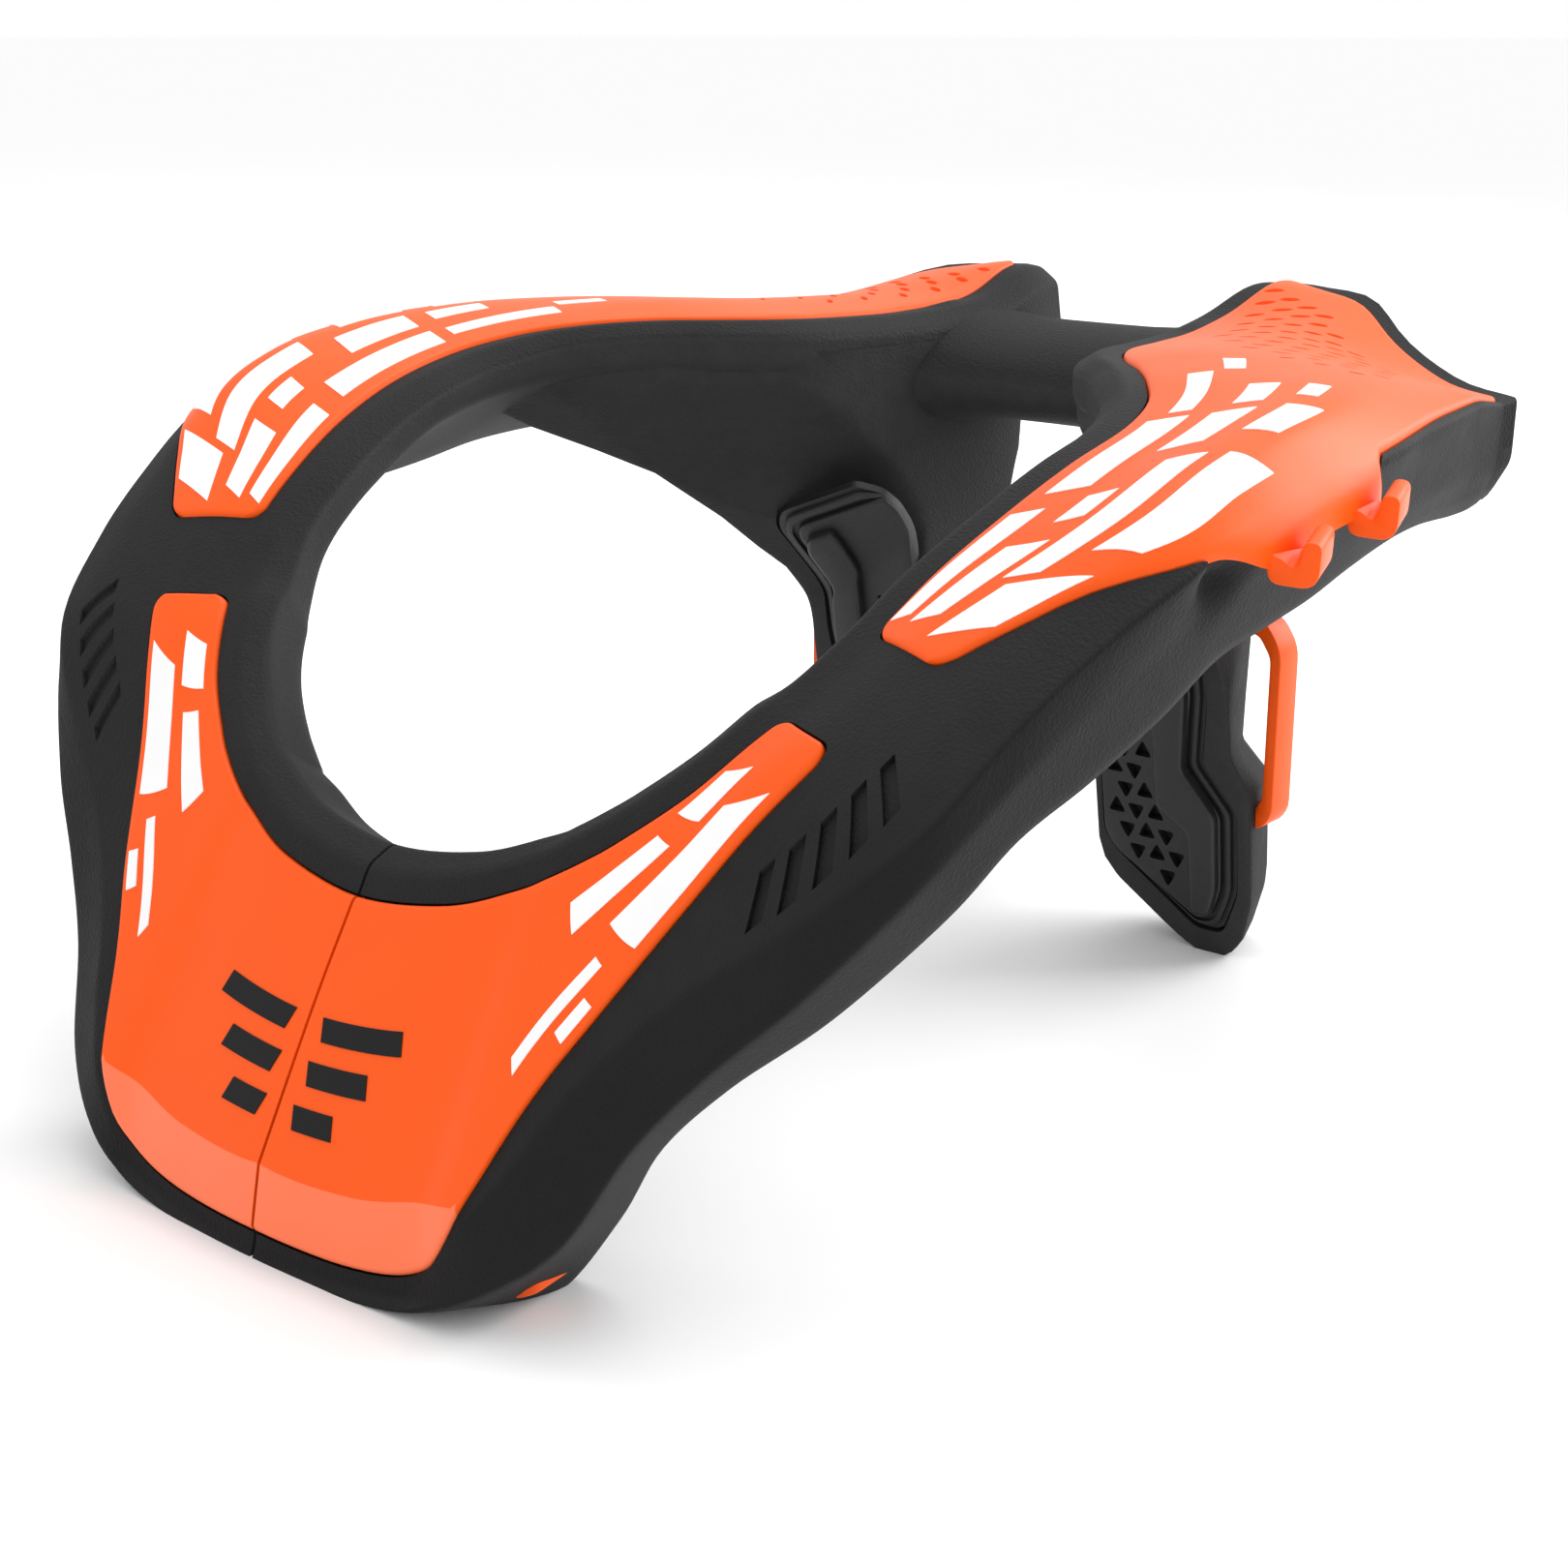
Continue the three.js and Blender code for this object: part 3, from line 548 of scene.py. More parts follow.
def rounded(points, radii, steps=5, fills=None):
    """A closed outline with soft bends of given reaches at its corners and points filled in after them."""
    bends = []
    count = len(points)
    points = [np.array(p, float) for p in points]
    for i, (p, reach) in enumerate(zip(points, radii)):
        if reach == 0:
            bends.append([p])
            continue
        back, ahead = points[i - 1] - p, points[(i + 1) % count] - p
        start = p + unit(back) * min(reach, BEND_SHARE * np.linalg.norm(back))
        end = p + unit(ahead) * min(reach, BEND_SHARE * np.linalg.norm(ahead))
        turns = [k / (steps - 1) for k in range(steps)]
        bends.append([(1 - t) ** 2 * start + 2 * t * (1 - t) * p + t * t * end for t in turns])
    out = []
    for i, bend in enumerate(bends):
        out += bend
        if fills is not None and fills[i]:
            ahead = bends[(i + 1) % count][0] - bend[-1]
            out += [bend[-1] + ahead * (k + 1) / (fills[i] + 1) for k in range(fills[i])]
    return out


def winding(points):
    """1 for a closed outline that turns anticlockwise, else -1."""
    turn = sum(p[0] * q[1] - p[1] * q[0] for p, q in zip(points, points[1:] + points[:1]))
    return 1 if turn > 0 else -1


def inset_outline(points, distance):
    """A closed outline moved inwards by a distance."""
    points = [np.array(p, float) for p in points]
    count = len(points)
    side = winding(points)
    out = []
    for i, p in enumerate(points):
        one, two = p - points[i - 1], points[(i + 1) % count] - p
        one, two = unit(one), unit(two)
        lean = unit(np.array([-one[1] - two[1], one[0] + two[0]]) * side)
        across = max(abs(lean[0] * one[1] - lean[1] * one[0]), CORNER_LIMIT)
        out.append(p + lean * distance / across)
    return out


def flat(point):
    """A place in millimetres in the flat space where pads are drawn: x, height on the leg, thickness."""
    return (point[0] * MM, point[1] * MM, point[2] * MM)


def prism(name, outline, low, high, place):
    """A solid between two levels over an outline; place takes the outline's two values and the level."""
    count = len(outline)
    points = [np.array([p[0], p[1], level]) for level in (low, high) for p in outline]
    faces = [tuple(range(count - 1, -1, -1)), tuple(range(count, 2 * count))]
    faces += [(k, (k + 1) % count, count + (k + 1) % count, count + k) for k in range(count)]
    return mesh_object(name, points, faces, place)


def surface_patches(name, shapes, point, high, low):
    """Thin solids on a surface: each shape has four corners, and point gives a place on the surface."""
    points, faces = [], []
    row = PATCH_WIDE + 1
    for (p0, q0), (p1, q1), (p2, q2), (p3, q3) in shapes:
        bases = []
        for level in (high, low):
            bases.append(len(points))
            for i in range(PATCH_LONG + 1):
                for k in range(row):
                    f, g = i / PATCH_LONG, k / PATCH_WIDE
                    p = (1 - g) * ((1 - f) * p0 + f * p1) + g * ((1 - f) * p3 + f * p2)
                    q = (1 - g) * ((1 - f) * q0 + f * q1) + g * ((1 - f) * q3 + f * q2)
                    points.append(point(p, q, level))
        top, bottom = bases
        for a in [i * row + k for i in range(PATCH_LONG) for k in range(PATCH_WIDE)]:
            faces.append((top + a, top + a + 1, top + a + row + 1, top + a + row))
            faces.append((bottom + a, bottom + a + row, bottom + a + row + 1, bottom + a + 1))
        edge = list(range(row)) + [i * row + row - 1 for i in range(1, PATCH_LONG + 1)]
        edge += [PATCH_LONG * row + k for k in range(row - 2, -1, -1)]
        edge += [i * row for i in range(PATCH_LONG - 1, 0, -1)]
        for a, b in zip(edge, edge[1:] + edge[:1]):
            faces.append((top + a, bottom + a, bottom + b, top + b))
    return mesh_object(name, points, faces)


# Foam collar

def foam_ring(section):
    """The outline of the foam at a section."""
    inner = RIM + BEVEL_ACROSS
    top = [section.top(t * section.width) for t in np.linspace(0, TOP_PART, TOP_POINTS)]
    corners = [section.place(-RIM, 0), *top, section.top(section.width), section.c, section.d,
               section.place(1 - inner, section.wall), section.place(-inner, BEVEL_DEEP)]
    bends = [RIM_BEND, *[0] * TOP_POINTS, *CORNER_BENDS]
    fills = [*[0] * (TOP_POINTS + 1), *CORNER_FILLS]
    return rounded(corners, bends, fills=fills)


def arm_mesh():
    """One arm of the collar from the groove in the middle of the bib to the rounded end of the wing."""
    stations = [*np.linspace(0, LAST - 1, (LAST - 1) * RINGS_PER_STATION + 1), LAST]
    rings = [foam_ring(Section(s)) for s in stations]
    core = inset_outline([p[1:] for p in rings[0]], SLIT_DEEP)
    rings[0] = [np.array([SLIT / 2, *p[1:]]) for p in rings[0]]
    rings = [[np.array([x, *p]) for p in core] for x in (-SLIT_LAP, SLIT / 2)] + rings
    last = np.array(rings[-1])
    # Three points of the last ring, two on its top and one across from them, give the way behind it
    behind = unit(np.cross(last[8] - last[4], last[len(last) // 2 + 8] - last[8]))
    if behind[1] < 0:
        behind = -behind
    along = np.roll(last, -1, axis=0) - np.roll(last, 1, axis=0)
    inward = np.cross(along, behind)
    inward /= np.maximum(np.linalg.norm(inward, axis=1), 1e-9)[:, None]
    if np.sum(inward * (last.mean(axis=0) - last)) < 0:
        inward = -inward
    for back, shrink in END_ROUND:
        rings.append(list(last + inward * shrink + behind * back))
    return rings_mesh("arm", rings)


def leg_front(x, up):
    """The leg's front face, the foremost of its planes with a soft bend between them."""
    (back1, per_x1, per_up1), (back2, per_x2, per_up2) = LEG_PLANES
    p = back1 - per_x1 * x - per_up1 * up
    q = back2 - per_x2 * x - per_up2 * up
    return (p + q - math.sqrt((p - q) ** 2 + LEG_BLEND ** 2)) / 2


def on_leg(x, up, out):
    """A place out from the leg's front face."""
    step = 0.5
    slope_x = (leg_front(x + step, up) - leg_front(x - step, up)) / (2 * step)
    slope_up = (leg_front(x, up + step) - leg_front(x, up - step)) / (2 * step)
    normal = np.array([slope_x, -1.0, slope_up])
    return np.array([x, leg_front(x, up), up]) + unit(normal) * out


def table_row(table, value):
    """A row of a table whose first column rises, at a value between its rows."""
    return [np.interp(value, table[:, 0], table[:, k]) for k in range(1, table.shape[1])]


def leg_mesh():
    """A leg; its top reaches into the wing and its inner side runs on from the collar's inner wall."""
    stations = np.linspace(LEG_WALL_FROM, LAST - 1, LEG_WALL_POINTS)
    wall = [Section(s).place(-RIM - BEVEL_ACROSS - LEG_WALL_PROUD, BEVEL_DEEP) for s in stations]
    wall_x = [p[0] for p in wall]
    wall_y = [p[1] for p in wall]

    def inner_side(y, up, inner):
        sink = LEG_SINK["deep"] * ease(up, *LEG_SINK["height"]) * (1 - ease(y, *LEG_SINK["back"]))
        joined = np.interp(y, wall_y, wall_x) + sink
        return inner + ease(up, *LEG_JOINS) * (joined - inner)

    def front_edge(x, up, lead):
        narrow, wide = LEG_FALL["width"]
        width = narrow + (wide - narrow) * ease(up, *LEG_FALL["widening"])
        part = max(0.0, 1 - (x - lead) / width)
        return leg_front(x, up) - LEG_RAISE + LEG_FALL["back"] * ease(up, *LEG_FALL["height"]) * part

    first, *others = LEG_BENDS
    bends = [first, *[0] * (LEG_FRONT_POINTS - 2), *others, *[0] * (LEG_INNER_POINTS - 2)]
    taper_across, taper_deep = LEG_TAPER
    rings = []
    for up in np.linspace(0, LEG_ROWS[-1, 0], LEG_RINGS):
        inner, outer, rear, flare = table_row(LEG_ROWS, up)
        # The x where the front meets the inner side, found by closing in on it
        lead = inner
        for _ in range(20):
            lead = inner_side(front_edge(lead, up, lead), up, inner)
        across = np.linspace(lead, outer + flare, LEG_FRONT_POINTS)
        fronts = [np.array([x, front_edge(x, up, lead)]) for x in across]
        corners = [*fronts, np.array([outer, max(rear - taper_deep, fronts[-1][1] + 1)]),
                   np.array([outer - taper_across, rear])]
        ways = np.linspace(rear, fronts[0][1], LEG_INNER_POINTS)[:-1]
        corners += [np.array([inner_side(y, up, inner), y]) for y in ways]
        rings.append([np.array([x, y, up]) for x, y in rounded(corners, bends)])
    return rings_mesh("leg", rings)


def bridge_mesh():
    """The bridge between the wings, an oval bar that widens and then sinks into them."""
    rings = []
    reach = BRIDGE_ROWS[-1, 0]
    for x in np.linspace(-reach, reach, BRIDGE_RINGS):
        back, up, half_deep, half_tall = table_row(BRIDGE_ROWS, abs(x))
        ring = []
        for turn in np.linspace(0, 2 * math.pi, BRIDGE_POINTS, endpoint=False):
            y = half_deep * math.cos(turn)
            z = half_tall * math.sin(turn)
            ring.append(np.array([x, back + y - z * BRIDGE_TILT, up + z + y * BRIDGE_TILT]))
        rings.append(ring)
    return rings_mesh("bridge", rings)


def slot_shapes():
    """Leaning slots as four corners each: station and distance out."""
    return [((s0 - SLOT_LEAN, u1), (s1 - SLOT_LEAN, u1), (s1 + SLOT_LEAN, u0), (s0 + SLOT_LEAN, u0))
            for s0, s1, u0, u1 in SLOTS]


def press_hollows(obj):
    """Pushes soft hollows into the foam's outer sides."""
    count = len(obj.data.vertices)
    spots = np.empty(count * 3)
    obj.data.vertices.foreach_get("co", spots)
    spots = spots.reshape(-1, 3)
    for place, reach, depth in HOLLOWS:
        for side in (1, -1):
            centre = np.array(world((place[0] * side, place[1], place[2])))
            near = np.exp(-np.sum((spots - centre) ** 2, axis=1) / (reach * MM) ** 2)
            spots[:, 0] -= side * depth * MM * near
    obj.data.vertices.foreach_set("co", spots.ravel())


def foam_mesh(plates):
    """The collar, grooved at the front, its legs and bridge in one skin, with seats and pressed slots."""
    foam = arm_mesh()
    foam.name = "foam_body"
    leg = leg_mesh()
    for other in (mirrored(foam, "arm_right"), mirrored(leg, "leg_right"), leg, bridge_mesh()):
        combine(foam, other, "UNION")
    press_hollows(foam)
    combine(foam, prism("ground", GROUND, -GROUND_DEEP, 0, world), "DIFFERENCE")
    seat_deep = PLATE_THICK - PLATE_PROUD + FIT_GAP
    cutters = [plate.mesh("seat", grow=FIT_GAP, proud=SEAT_OPEN, sunk=seat_deep, edge=0.0)
               for plate in plates]
    seat_outline = rounded(inset_outline(PAD_OUTLINE, -SEAT_GAP), PAD_ROUND)
    cutters.append(bent_on_leg(prism("pad_seat", seat_outline, *PAD_SEAT, flat)))

    def on_top(s, u, above):
        return Section(s).top(u, above)

    cutters.append(surface_patches("slots", slot_shapes(), on_top, SLOT_OPEN, -SLOT_DEEP))
    for cutter in cutters:
        combine(foam, mirrored(cutter, "twin"), "DIFFERENCE")
        combine(foam, cutter, "DIFFERENCE")
    return foam


# Shell plates

class Plate:
    """The surface of a shell plate: the way along its middle and the way across, in millimetres."""

    def __init__(self, start, end, corner, round_start, skew, flanged):
        self.corner = corner
        self.flanged = flanged
        self.round_start = round_start
        self.skew = skew
        self.stations = np.linspace(start, end + PLATE_RUN_ON, PLATE_SAMPLES)
        middles = np.array([sec.place(sec.plate / 2, 0) for sec in map(Section, self.stations)])
        steps = np.linalg.norm(np.diff(middles, axis=0), axis=1)
        self.ways = np.concatenate([[0.0], np.cumsum(steps)])
        self.length = float(np.interp(end, self.stations, self.ways))

    def section(self, way, part=0.0):
        """The section at a way along the plate; the outer side of a skewed end runs further on."""
        way += self.skew * part * ease(way, self.length - SKEW_LENGTH, self.length)
        return Section(float(np.interp(way, self.ways, self.stations)))

    def point(self, way, part, above):
        """A place on or above the plate's surface, at a way along it and a part of its width."""
        sec = self.section(way, part)
        return sec.top(part * sec.plate, above)

    def to_end(self, way):
        """Distance to the nearest rounded end."""
        return min(self.length - way, way) if self.round_start else self.length - way

    def inset(self, way):
        """How far the rounded corners draw the edges in."""
        distance = self.to_end(way)
        if distance >= self.corner:
            return 0.0
        return self.corner - math.sqrt(max(self.corner ** 2 - (self.corner - distance) ** 2, 0.0))

    def way_steps(self):
        """Ways along the plate for its rings, close at the rounded ends."""
        near = [e + 1e-3 for e in EDGE_STEPS] + [*END_STEPS]
        start = near if self.round_start else [SLIT / 2]
        count = int(self.length / WAY_STEP)
        inner = np.linspace(start[-1] + WAY_STEP, self.length - near[-1] - WAY_STEP, count)
        return [*start, *inner, *[self.length - n for n in reversed(near)]]

    def across_steps(self, sec, wide):
        """Distances across a section, close at the inner edge and the crease, and the last edge step."""
        lows = [min(e, wide * LOW_SHARE) for e in EDGE_STEPS]
        share = CREASE_SHARE["bib"] - CREASE_SHARE["drop"] * ease(sec.s, *CREASE_SHARE["stations"])
        crease = min(wide - sec.margin(), wide * share)
        upper = np.linspace(lows[-1], crease - CREASE_GAP, CREASE_STEP - len(lows) + 1)[1:]
        lower = np.linspace(crease + CREASE_GAP, wide - lows[-1], MARGIN_STEPS)[:-1]
        return [*lows, *upper, crease, *lower], lows[-1]

    def swell(self, s):
        """How far the flange has grown out of the outer edge."""
        if not self.flanged:
            return 0.0
        return ease(s, FLANGE["start"], FLANGE["full"]) * (1 - ease(s, FLANGE["shrink"], FLANGE["end"]))

    def mesh(self, name, grow=0.0, proud=PLATE_PROUD, sunk=PLATE_THICK - PLATE_PROUD, edge=EDGE_ROUND):
        """The plate as a solid; its chamfered margin's faces take the second material, a painted reflection.
        """
        rings, margin = [], []
        for way in self.way_steps():
            sec = self.section(way)
            margin.append(sec.margin() > 1)
            inset = self.inset(way) - grow
            wide = sec.plate - 2 * inset
            end_drop = edge_drop(self.to_end(way), edge)
            shift = 0.0 if self.to_end(way) > 1 else math.copysign(grow, way - self.length / 2)
            steps, reach = self.across_steps(sec, wide)
            over, under = [], []
            for v in steps:
                drop = max(edge_drop(v, edge), end_drop)
                part = (inset + v) / sec.plate
                over.append(self.point(way + shift, part, proud - drop))
                under.append(self.point(way + shift, part, -sunk))
            for upper, lower in edge_columns(self.swell(sec.s), reach, proud + sunk):
                for line, (out, down) in ((over, upper), (under, lower)):
                    part = (inset + wide + out) / sec.plate
                    down = 0.0 if line is over and edge == 0 else max(down, end_drop)
                    line.append(self.point(way + shift, part, proud - down))
            rings.append(over + under[::-1])
        count = len(rings[0])
        half = count // 2
        faces = ring_faces(len(rings), count)
        marks = []
        for marked in margin[:-1]:
            marks += [int(marked and CREASE_STEP <= k < half) for k in range(count)]
        for base in (0, (len(rings) - 1) * count):
            for k in range(half - 1):
                faces.append((base + k, base + k + 1, base + count - 2 - k, base + count - 1 - k))
                marks.append(0)
        return mesh_object(name, [p for ring in rings for p in ring], faces, marks=marks)


def edge_drop(distance, edge):
    """How far a rounded edge has fallen at a distance from it."""
    if distance >= edge:
        return 0.0
    return edge - math.sqrt(edge ** 2 - (edge - distance) ** 2)


def edge_columns(swell, reach, thick):
    """A plate's outer edge, over and under, as distances out and down: a round that swells to the flange."""
    curve = np.array(FLANGE_CURVE, float)
    last = len(curve) - 1
    columns = []
    for k in range(1, EDGE_COLUMNS + 1):
        t = k / EDGE_COLUMNS
        turn = t * math.pi / 2
        round_over = np.array([reach * (math.sin(turn) - 1), reach * (1 - math.cos(turn))])
        round_under = np.array([reach * (t - 1), thick])
        out_over = smooth_row(curve, t * last)
        slope = unit(smooth_row(curve, min(t * last + NUDGE, last)) - smooth_row(curve, t * last - NUDGE))
        inward = np.array([-slope[1], slope[0]])
        out_under = out_over + inward * PLATE_THICK + np.array([0, thick - PLATE_THICK])
        over = (1 - swell) * round_over + swell * out_over
        under = (1 - swell) * round_under + swell * out_under
        columns.append((over, under))
    return columns


def bar_shapes(bars):
    """Leaning bars as four corners each: way along the plate and part across it."""
    shapes = []
    for start, end, low, high in bars:
        lean = BAR_LEAN * (high - low) / BAR_PART
        shapes.append(((start, low), (end, low), (end + lean, high), (start + lean, high)))
    return shapes


def hook_mesh(s):
    """A strap hook on the flange at a station."""
    sec = Section(s)
    out, down = FLANGE_CURVE[-1]
    foot = sec.place(sec.plate + out, down - PLATE_PROUD)
    outline = rounded(HOOK_OUTLINE, HOOK_ROUND)
    half = HOOK_WIDE / 2
    out_way = np.array([math.cos(HOOK_TURN), math.sin(HOOK_TURN), 0])
    along = np.array([-math.sin(HOOK_TURN), math.cos(HOOK_TURN), HOOK_RISE])

    def place(p):
        return world(foot + out_way * p[0] + np.array([0, 0, p[1]]) + along * p[2])

    obj = prism("hook", outline, -half, half, place)
    bevel(obj, HOOK_BEVEL)
    return obj


def dash_mesh(plate):
    """Small lens-shaped bodies that press dashes into the wing."""
    points, faces = [], []
    for row, (first, last) in enumerate(DASH_ROWS):
        slope = DASH["turn"] + row * DASH["turn_more"]
        lean, lead = math.sin(slope), math.cos(slope)
        before = row * DASH["step"] + row * (row - 1) / 2 * DASH["more"]
        for k in range(first, last):
            way = DASH["first"] - before - k * DASH["slant"]
            u = DASH["first_u"] + min(row, DASH["last_step"]) * DASH["step_u"] + k * DASH["pitch_u"]
            wide = plate.section(way).plate
            base = len(points)
            for level, spread in ((-DASH["deep"], DASH["bottom"]), (0.0, 1.0), (DASH["open"], 1.0)):
                for turn in np.linspace(0, 2 * math.pi, DASH_POINTS, endpoint=False):
                    a = spread * DASH["long"] / 2 * math.cos(turn)
                    b = spread * DASH["wide"] / 2 * math.sin(turn)
                    part = (u + a * lead - b * lean) / wide
                    points.append(plate.point(way + a * lean + b * lead, part, PLATE_PROUD + level))
            faces += [tuple(base + j for j in face) for face in ring_faces(3, DASH_POINTS)]
            faces.append(tuple(base + j for j in range(DASH_POINTS)))
            faces.append(tuple(base + 2 * DASH_POINTS + j for j in range(DASH_POINTS)))
    return mesh_object("dashes", points, faces)


def rear_plate_mesh(plate):
    """A rear plate with its pressed dashes and its hooks."""
    obj = plate.mesh("rear_shell_left")
    combine(obj, dash_mesh(plate), "DIFFERENCE")
    for s in HOOK_STATIONS:
        combine(obj, hook_mesh(s), "UNION")
    return obj


# Pads, loops and tabs

def inside(point, outline):
    """How deep a point lies inside a convex outline, below zero outside."""
    points = [np.array(p, float) for p in outline]
    side = winding(points)
    depth = 1e9
    for p, q in zip(points, points[1:] + points[:1]):
        along = unit(q - p)
        depth = min(depth, side * (along[0] * (point[1] - p[1]) - along[1] * (point[0] - p[0])))
    return depth


def pocket_outlines():
    """Triangles in rows that lie inside the fields of pockets."""
    out = []
    reach = POCKET["side"] / math.sqrt(3)
    for row in range(POCKET["rows"]):
        for k in range(POCKET["per_row"]):
            x = POCKET["first_x"] + (k + 0.5 * (row % 2)) * POCKET["pitch_x"]
            up = POCKET["first_up"] + row * POCKET["pitch_up"]
            tip = math.pi / 2 if (row + k) % 2 == 0 else -math.pi / 2
            turns = [tip + j * 2 * math.pi / 3 for j in range(3)]
            corners = [(x + reach * math.cos(turn), up + reach * math.sin(turn)) for turn in turns]
            depths = [min(inside(c, field) for c in corners) for field in POCKET_FIELDS]
            if max(depths) > -POCKET["margin"]:
                out.append(rounded(corners, [POCKET["bend"]] * 3, 3))
    return out


def bent_on_leg(obj):
    """Bends a flat solid over the two planes of the leg's front."""
    (back1, per_x1, per_up1), (back2, per_x2, per_up2) = LEG_PLANES
    lean = Vector((per_x1 - per_x2, per_up1 - per_up2, 0))
    bm = bmesh.new()
    bm.from_mesh(obj.data)
    for shift in PAD_BEND_CUTS:
        place = lean * ((back1 - back2 + shift) / lean.length_squared) * MM
        geometry = bm.verts[:] + bm.edges[:] + bm.faces[:]
        bmesh.ops.bisect_plane(bm, geom=geometry, plane_co=place, plane_no=lean.normalized())
    bmesh.ops.triangulate(bm, faces=bm.faces[:])
    for vertex in bm.verts:
        x, up, out = vertex.co / MM
        vertex.co = world(on_leg(x, up, out + FIT_GAP))
    bm.to_mesh(obj.data)
    bm.free()
    return obj


def pad_outline(inset):
    """The pad's outline drawn in by an inset on its outer side."""
    corners = []
    for p, q, share in zip(PAD_OUTLINE, inset_outline(PAD_OUTLINE, inset), PAD_SHARE):
        corners.append(np.array(p) + (q - np.array(p)) * share)
    return rounded(corners, PAD_ROUND)


def pad_mesh():
    """A back pad drawn flat in terraces, then bent over the leg's front."""
    (_, foot), (step_in, step), (groove_in, groove), (field_in, field) = PAD_TERRACES
    pad = prism("pad_left", pad_outline(0), 0, foot, flat)
    ledge = prism("ledge", pad_outline(step_in), 0, step, flat)
    bevel(ledge, PAD_BEVELS["ledge"], 2)
    combine(pad, ledge, "UNION")
    combine(pad, prism("trench", pad_outline(groove_in), groove, PAD_CLEAR, flat), "DIFFERENCE")
    plateau = prism("plateau", pad_outline(field_in), 0, field, flat)
    bevel(plateau, PAD_BEVELS["plateau"])
    combine(pad, plateau, "UNION")
    band = prism("band", rounded(PAD_BAND, PAD_BAND_ROUND), 0, PAD_BAND_HIGH, flat)
    bevel(band, PAD_BEVELS["band"], 4)
    combine(pad, band, "UNION")
    for outline in pocket_outlines():
        combine(pad, prism("pocket", outline, POCKET["floor"], PAD_CLEAR, flat), "DIFFERENCE")
    return bent_on_leg(pad)


def loop_mesh():
    """The strap loop on a leg's outer side."""
    half = LOOP_WIDE / 2

    def place(p):
        return world((p[0], LOOP_BACK + p[2], p[1]))

    obj = prism("loop_left", rounded(LOOP_OUTLINE, LOOP_ROUND), -half, half, place)
    bevel(obj, LOOP_BEVEL)
    return obj


def tab_mesh():
    """The tab under the front lip."""
    a, b, c = TAB_HALF
    outline = rounded([(-a, -b), (a, -b), (a, b), (-a, b)], [TAB_ROUND] * 4)
    obj = prism("tab_left", outline, -c, c, flat)
    bevel(obj, TAB_BEVEL, 2)
    turn = Matrix.Rotation(TAB_TURN, 4, "Z") @ Matrix.Rotation(TAB_ROLL, 4, "Y")
    obj.data.transform(Matrix.Translation(world(TAB_PLACE)) @ turn)
    return obj


# Materials

def put(material, node, values):
    """Sets a node's inputs: another node's output is linked, anything else is the input's own value."""
    for name, value in values.items():
        if isinstance(value, bpy.types.NodeSocket):
            material.node_tree.links.new(value, node.inputs[name])
        else:
            node.inputs[name].default_value = value


def outputs(material, kind, values, **settings):
    """The outputs of a new node with these inputs and settings."""
    node = material.node_tree.nodes.new(f"ShaderNode{kind}")
    for name, value in settings.items():
        setattr(node, name, value)
    put(material, node, values)
    return node.outputs


def map_range(material, value, low, high, at_low, at_high):
    """A value mapped from one range to another."""
    values = {"Value": value, "From Min": low, "From Max": high, "To Min": at_low, "To Max": at_high}
    return outputs(material, "MapRange", values)["Result"]


def grained(name):
    """A material from the table, with a mottled colour and roughness and a fine raised grain."""
    look = MATERIALS[name]
    material = bpy.data.materials.new(name)
    material.use_nodes = True
    where = outputs(material, "TexCoord", {})["Object"]
    mottle = {"Vector": where, "Scale": look["mottle"], "Detail": MOTTLE_DETAIL}
    cloud = outputs(material, "TexNoise", mottle)["Fac"]
    mixed = {0: cloud, 6: (*look["dark"], 1), 7: (*look["light"], 1)}
    cells = outputs(material, "TexVoronoi", {"Vector": where, "Scale": look["grain"]})["Distance"]
    grain = {"Strength": look["bump"], "Distance": look["depth"], "Height": cells}
    put(material, material.node_tree.nodes["Principled BSDF"], {
        "Base Color": outputs(material, "Mix", mixed, data_type="RGBA")[2],
        "Roughness": map_range(material, cloud, 0, 1, *look["rough"]),
        "Normal": outputs(material, "Bump", grain)["Normal"],
        "Specular IOR Level": look["gloss"],
    })
    return material


def facet_painted_light(material, outer, inner, top, under):
    """Painted light and shade: scales the colour of facets that face out from the neck or in towards it, the
    top and the underside.
    """
    def vector(operation, values):
        return outputs(material, "VectorMath", values, operation=operation)

    shader = material.node_tree.nodes["Principled BSDF"]
    colour = shader.inputs["Base Color"].links[0].from_socket
    where = outputs(material, "TexCoord", {})
    from_middle = (-NECK_MIDDLE[0], -NECK_MIDDLE[1], 0)
    away = vector("MULTIPLY_ADD", {0: where["Object"], 1: (1, 1, 0), 2: from_middle})["Vector"]
    level = vector("NORMALIZE", {0: away})["Vector"]
    facing = vector("DOT_PRODUCT", {0: level, 1: where["Normal"]})["Value"]
    upward = outputs(material, "SeparateXYZ", {"Vector": where["Normal"]})["Z"]
    painted_light = map_range(material, facing, *FACING_OUT, inner, outer)
    for tilt, painted_factor in ((FACING_UP, top), (FACING_DOWN, under)):
        part = map_range(material, upward, *tilt, 0, 1)
        painted_light = outputs(material, "Mix", {0: part, 2: painted_light, 3: painted_factor})[0]
    put(material, shader, {"Base Color": vector("SCALE", {0: colour, "Scale": painted_light})["Vector"]})


# Camera, floor and light

def camera():
    data = bpy.data.cameras.new("camera")
    data.sensor_width = CAMERA["sensor"]
    data.lens = CAMERA["lens_pixels"] / CAMERA["picture_pixels"] * CAMERA["sensor"]
    data.clip_start = CAMERA["near"]
    obj = linked("camera", data)
    axes = [Vector(CAMERA[name]) for name in ("right", "up", "away")]
    turn = Matrix(axes).transposed().to_4x4()
    obj.matrix_world = Matrix.Translation(CAMERA["place"]) @ turn
    bpy.context.scene.camera = obj


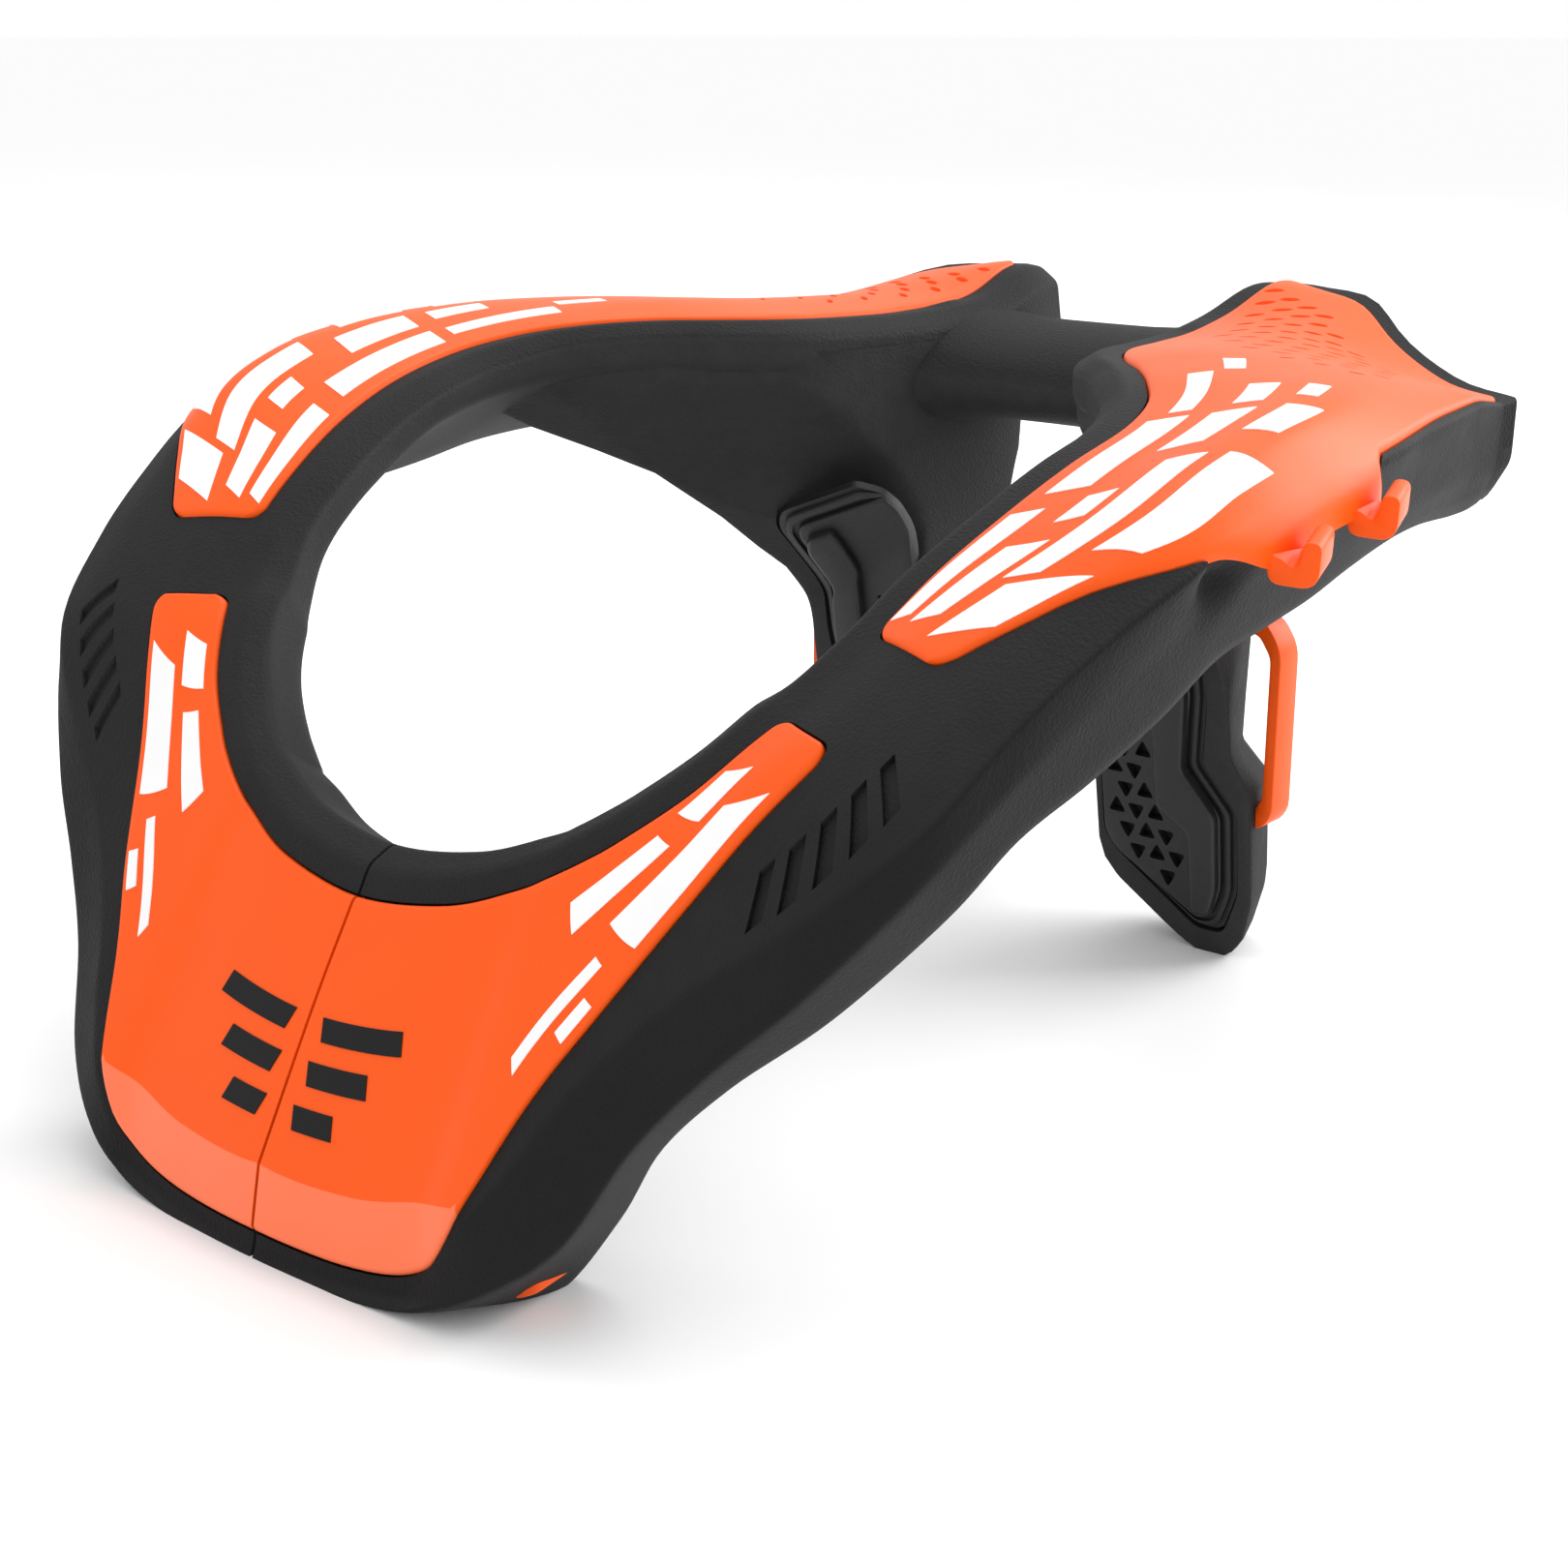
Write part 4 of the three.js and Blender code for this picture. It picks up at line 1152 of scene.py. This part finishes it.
def floor():
    half = FLOOR_HALF
    corners = [(-half, -half, 0), (half, -half, 0), (half, half, 0), (-half, half, 0)]
    mesh = bpy.data.meshes.new("floor")
    mesh.from_pydata(corners, [], [(0, 1, 2, 3)])
    obj = linked("floor", mesh)
    obj.data.materials.append(grained("floor_paper"))


def area_light(name, place, size, power):
    """A square soft light pointed at the target."""
    data = bpy.data.lights.new(name, "AREA")
    data.shape = "SQUARE"
    data.size = size
    data.energy = power
    obj = linked(name, data)
    obj.location = place
    obj.rotation_euler = (Vector(LIGHT_TARGET) - Vector(place)).to_track_quat("-Z", "Y").to_euler()


def lights():
    studio = bpy.data.worlds.new("studio")
    bpy.context.scene.world = studio
    studio.use_nodes = True
    background = studio.node_tree.nodes["Background"]
    background.inputs["Color"].default_value = (1, 1, 1, 1)
    for light in LIGHTS:
        area_light(*light)
    bpy.context.scene.view_settings.view_transform = "Standard"


# Pieces

def finish_piece(obj, material, nodes):
    """Gives a piece its material, smooth shading and its body, and hides the CAD nodes it stands for."""
    if len(obj.data.materials):
        obj.data.materials.clear()
    obj.data.materials.append(material)
    shade(obj)
    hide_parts(*nodes)
    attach(obj, "root")


def print_piece(obj, material):
    """A printed film on a plate."""
    obj.data.materials.append(material)
    shade(obj)
    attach(obj, "root")


def both_sides(obj):
    """A piece of the left side and its mirrored twin."""
    return (("left", obj), ("right", mirrored(obj, obj.name.replace("left", "right"))))


def finish_pair(obj, material, node):
    """Finishes a piece and its twin, which stand for the CAD nodes of their sides."""
    for side, piece in both_sides(obj):
        finish_piece(piece, material, [f"{node}_{side}"])


def build():
    names = ("foam_charcoal", "shell_orange", "margin_painted_reflection", "print_white", "print_black", "pad_rubber")
    foam_stuff, shell, margin, white, black, rubber = map(grained, names)
    # Painted light and shade: the foam is darker on facets facing out, lighter on those facing in, up and
    # down
    facet_painted_light(foam_stuff, **FOAM_PAINTED_LIGHT)
    front, rear = Plate(**FRONT_PLATE), Plate(**REAR_PLATE)
    finish_piece(foam_mesh((front, rear)), foam_stuff, ["foam_collar"])
    for side, obj in both_sides(front.mesh("front_shell_left")):
        finish_piece(obj, shell, [f"front_plate_{side}"])
        # The chamfered margin's material is lighter: a painted reflection
        obj.data.materials.append(margin)
    finish_pair(rear_plate_mesh(rear), shell, "rear_plate")
    finish_pair(pad_mesh(), rubber, "back_pad")
    finish_pair(loop_mesh(), shell, "strap_loop")
    finish_pair(tab_mesh(), shell, "chest_tab")
    prints = (("front_print", front, FRONT_BARS, white), ("rear_print", rear, REAR_BARS, white),
              ("bib_print", front, BIB_BARS, black))
    film = PLATE_PROUD + FILM_PROUD
    for name, plate, bars, stuff in prints:
        patches = surface_patches(f"{name}_left", bar_shapes(bars), plate.point, film, film - FILM_THICK)
        for _, obj in both_sides(patches):
            print_piece(obj, stuff)


camera()
floor()
lights()
build()
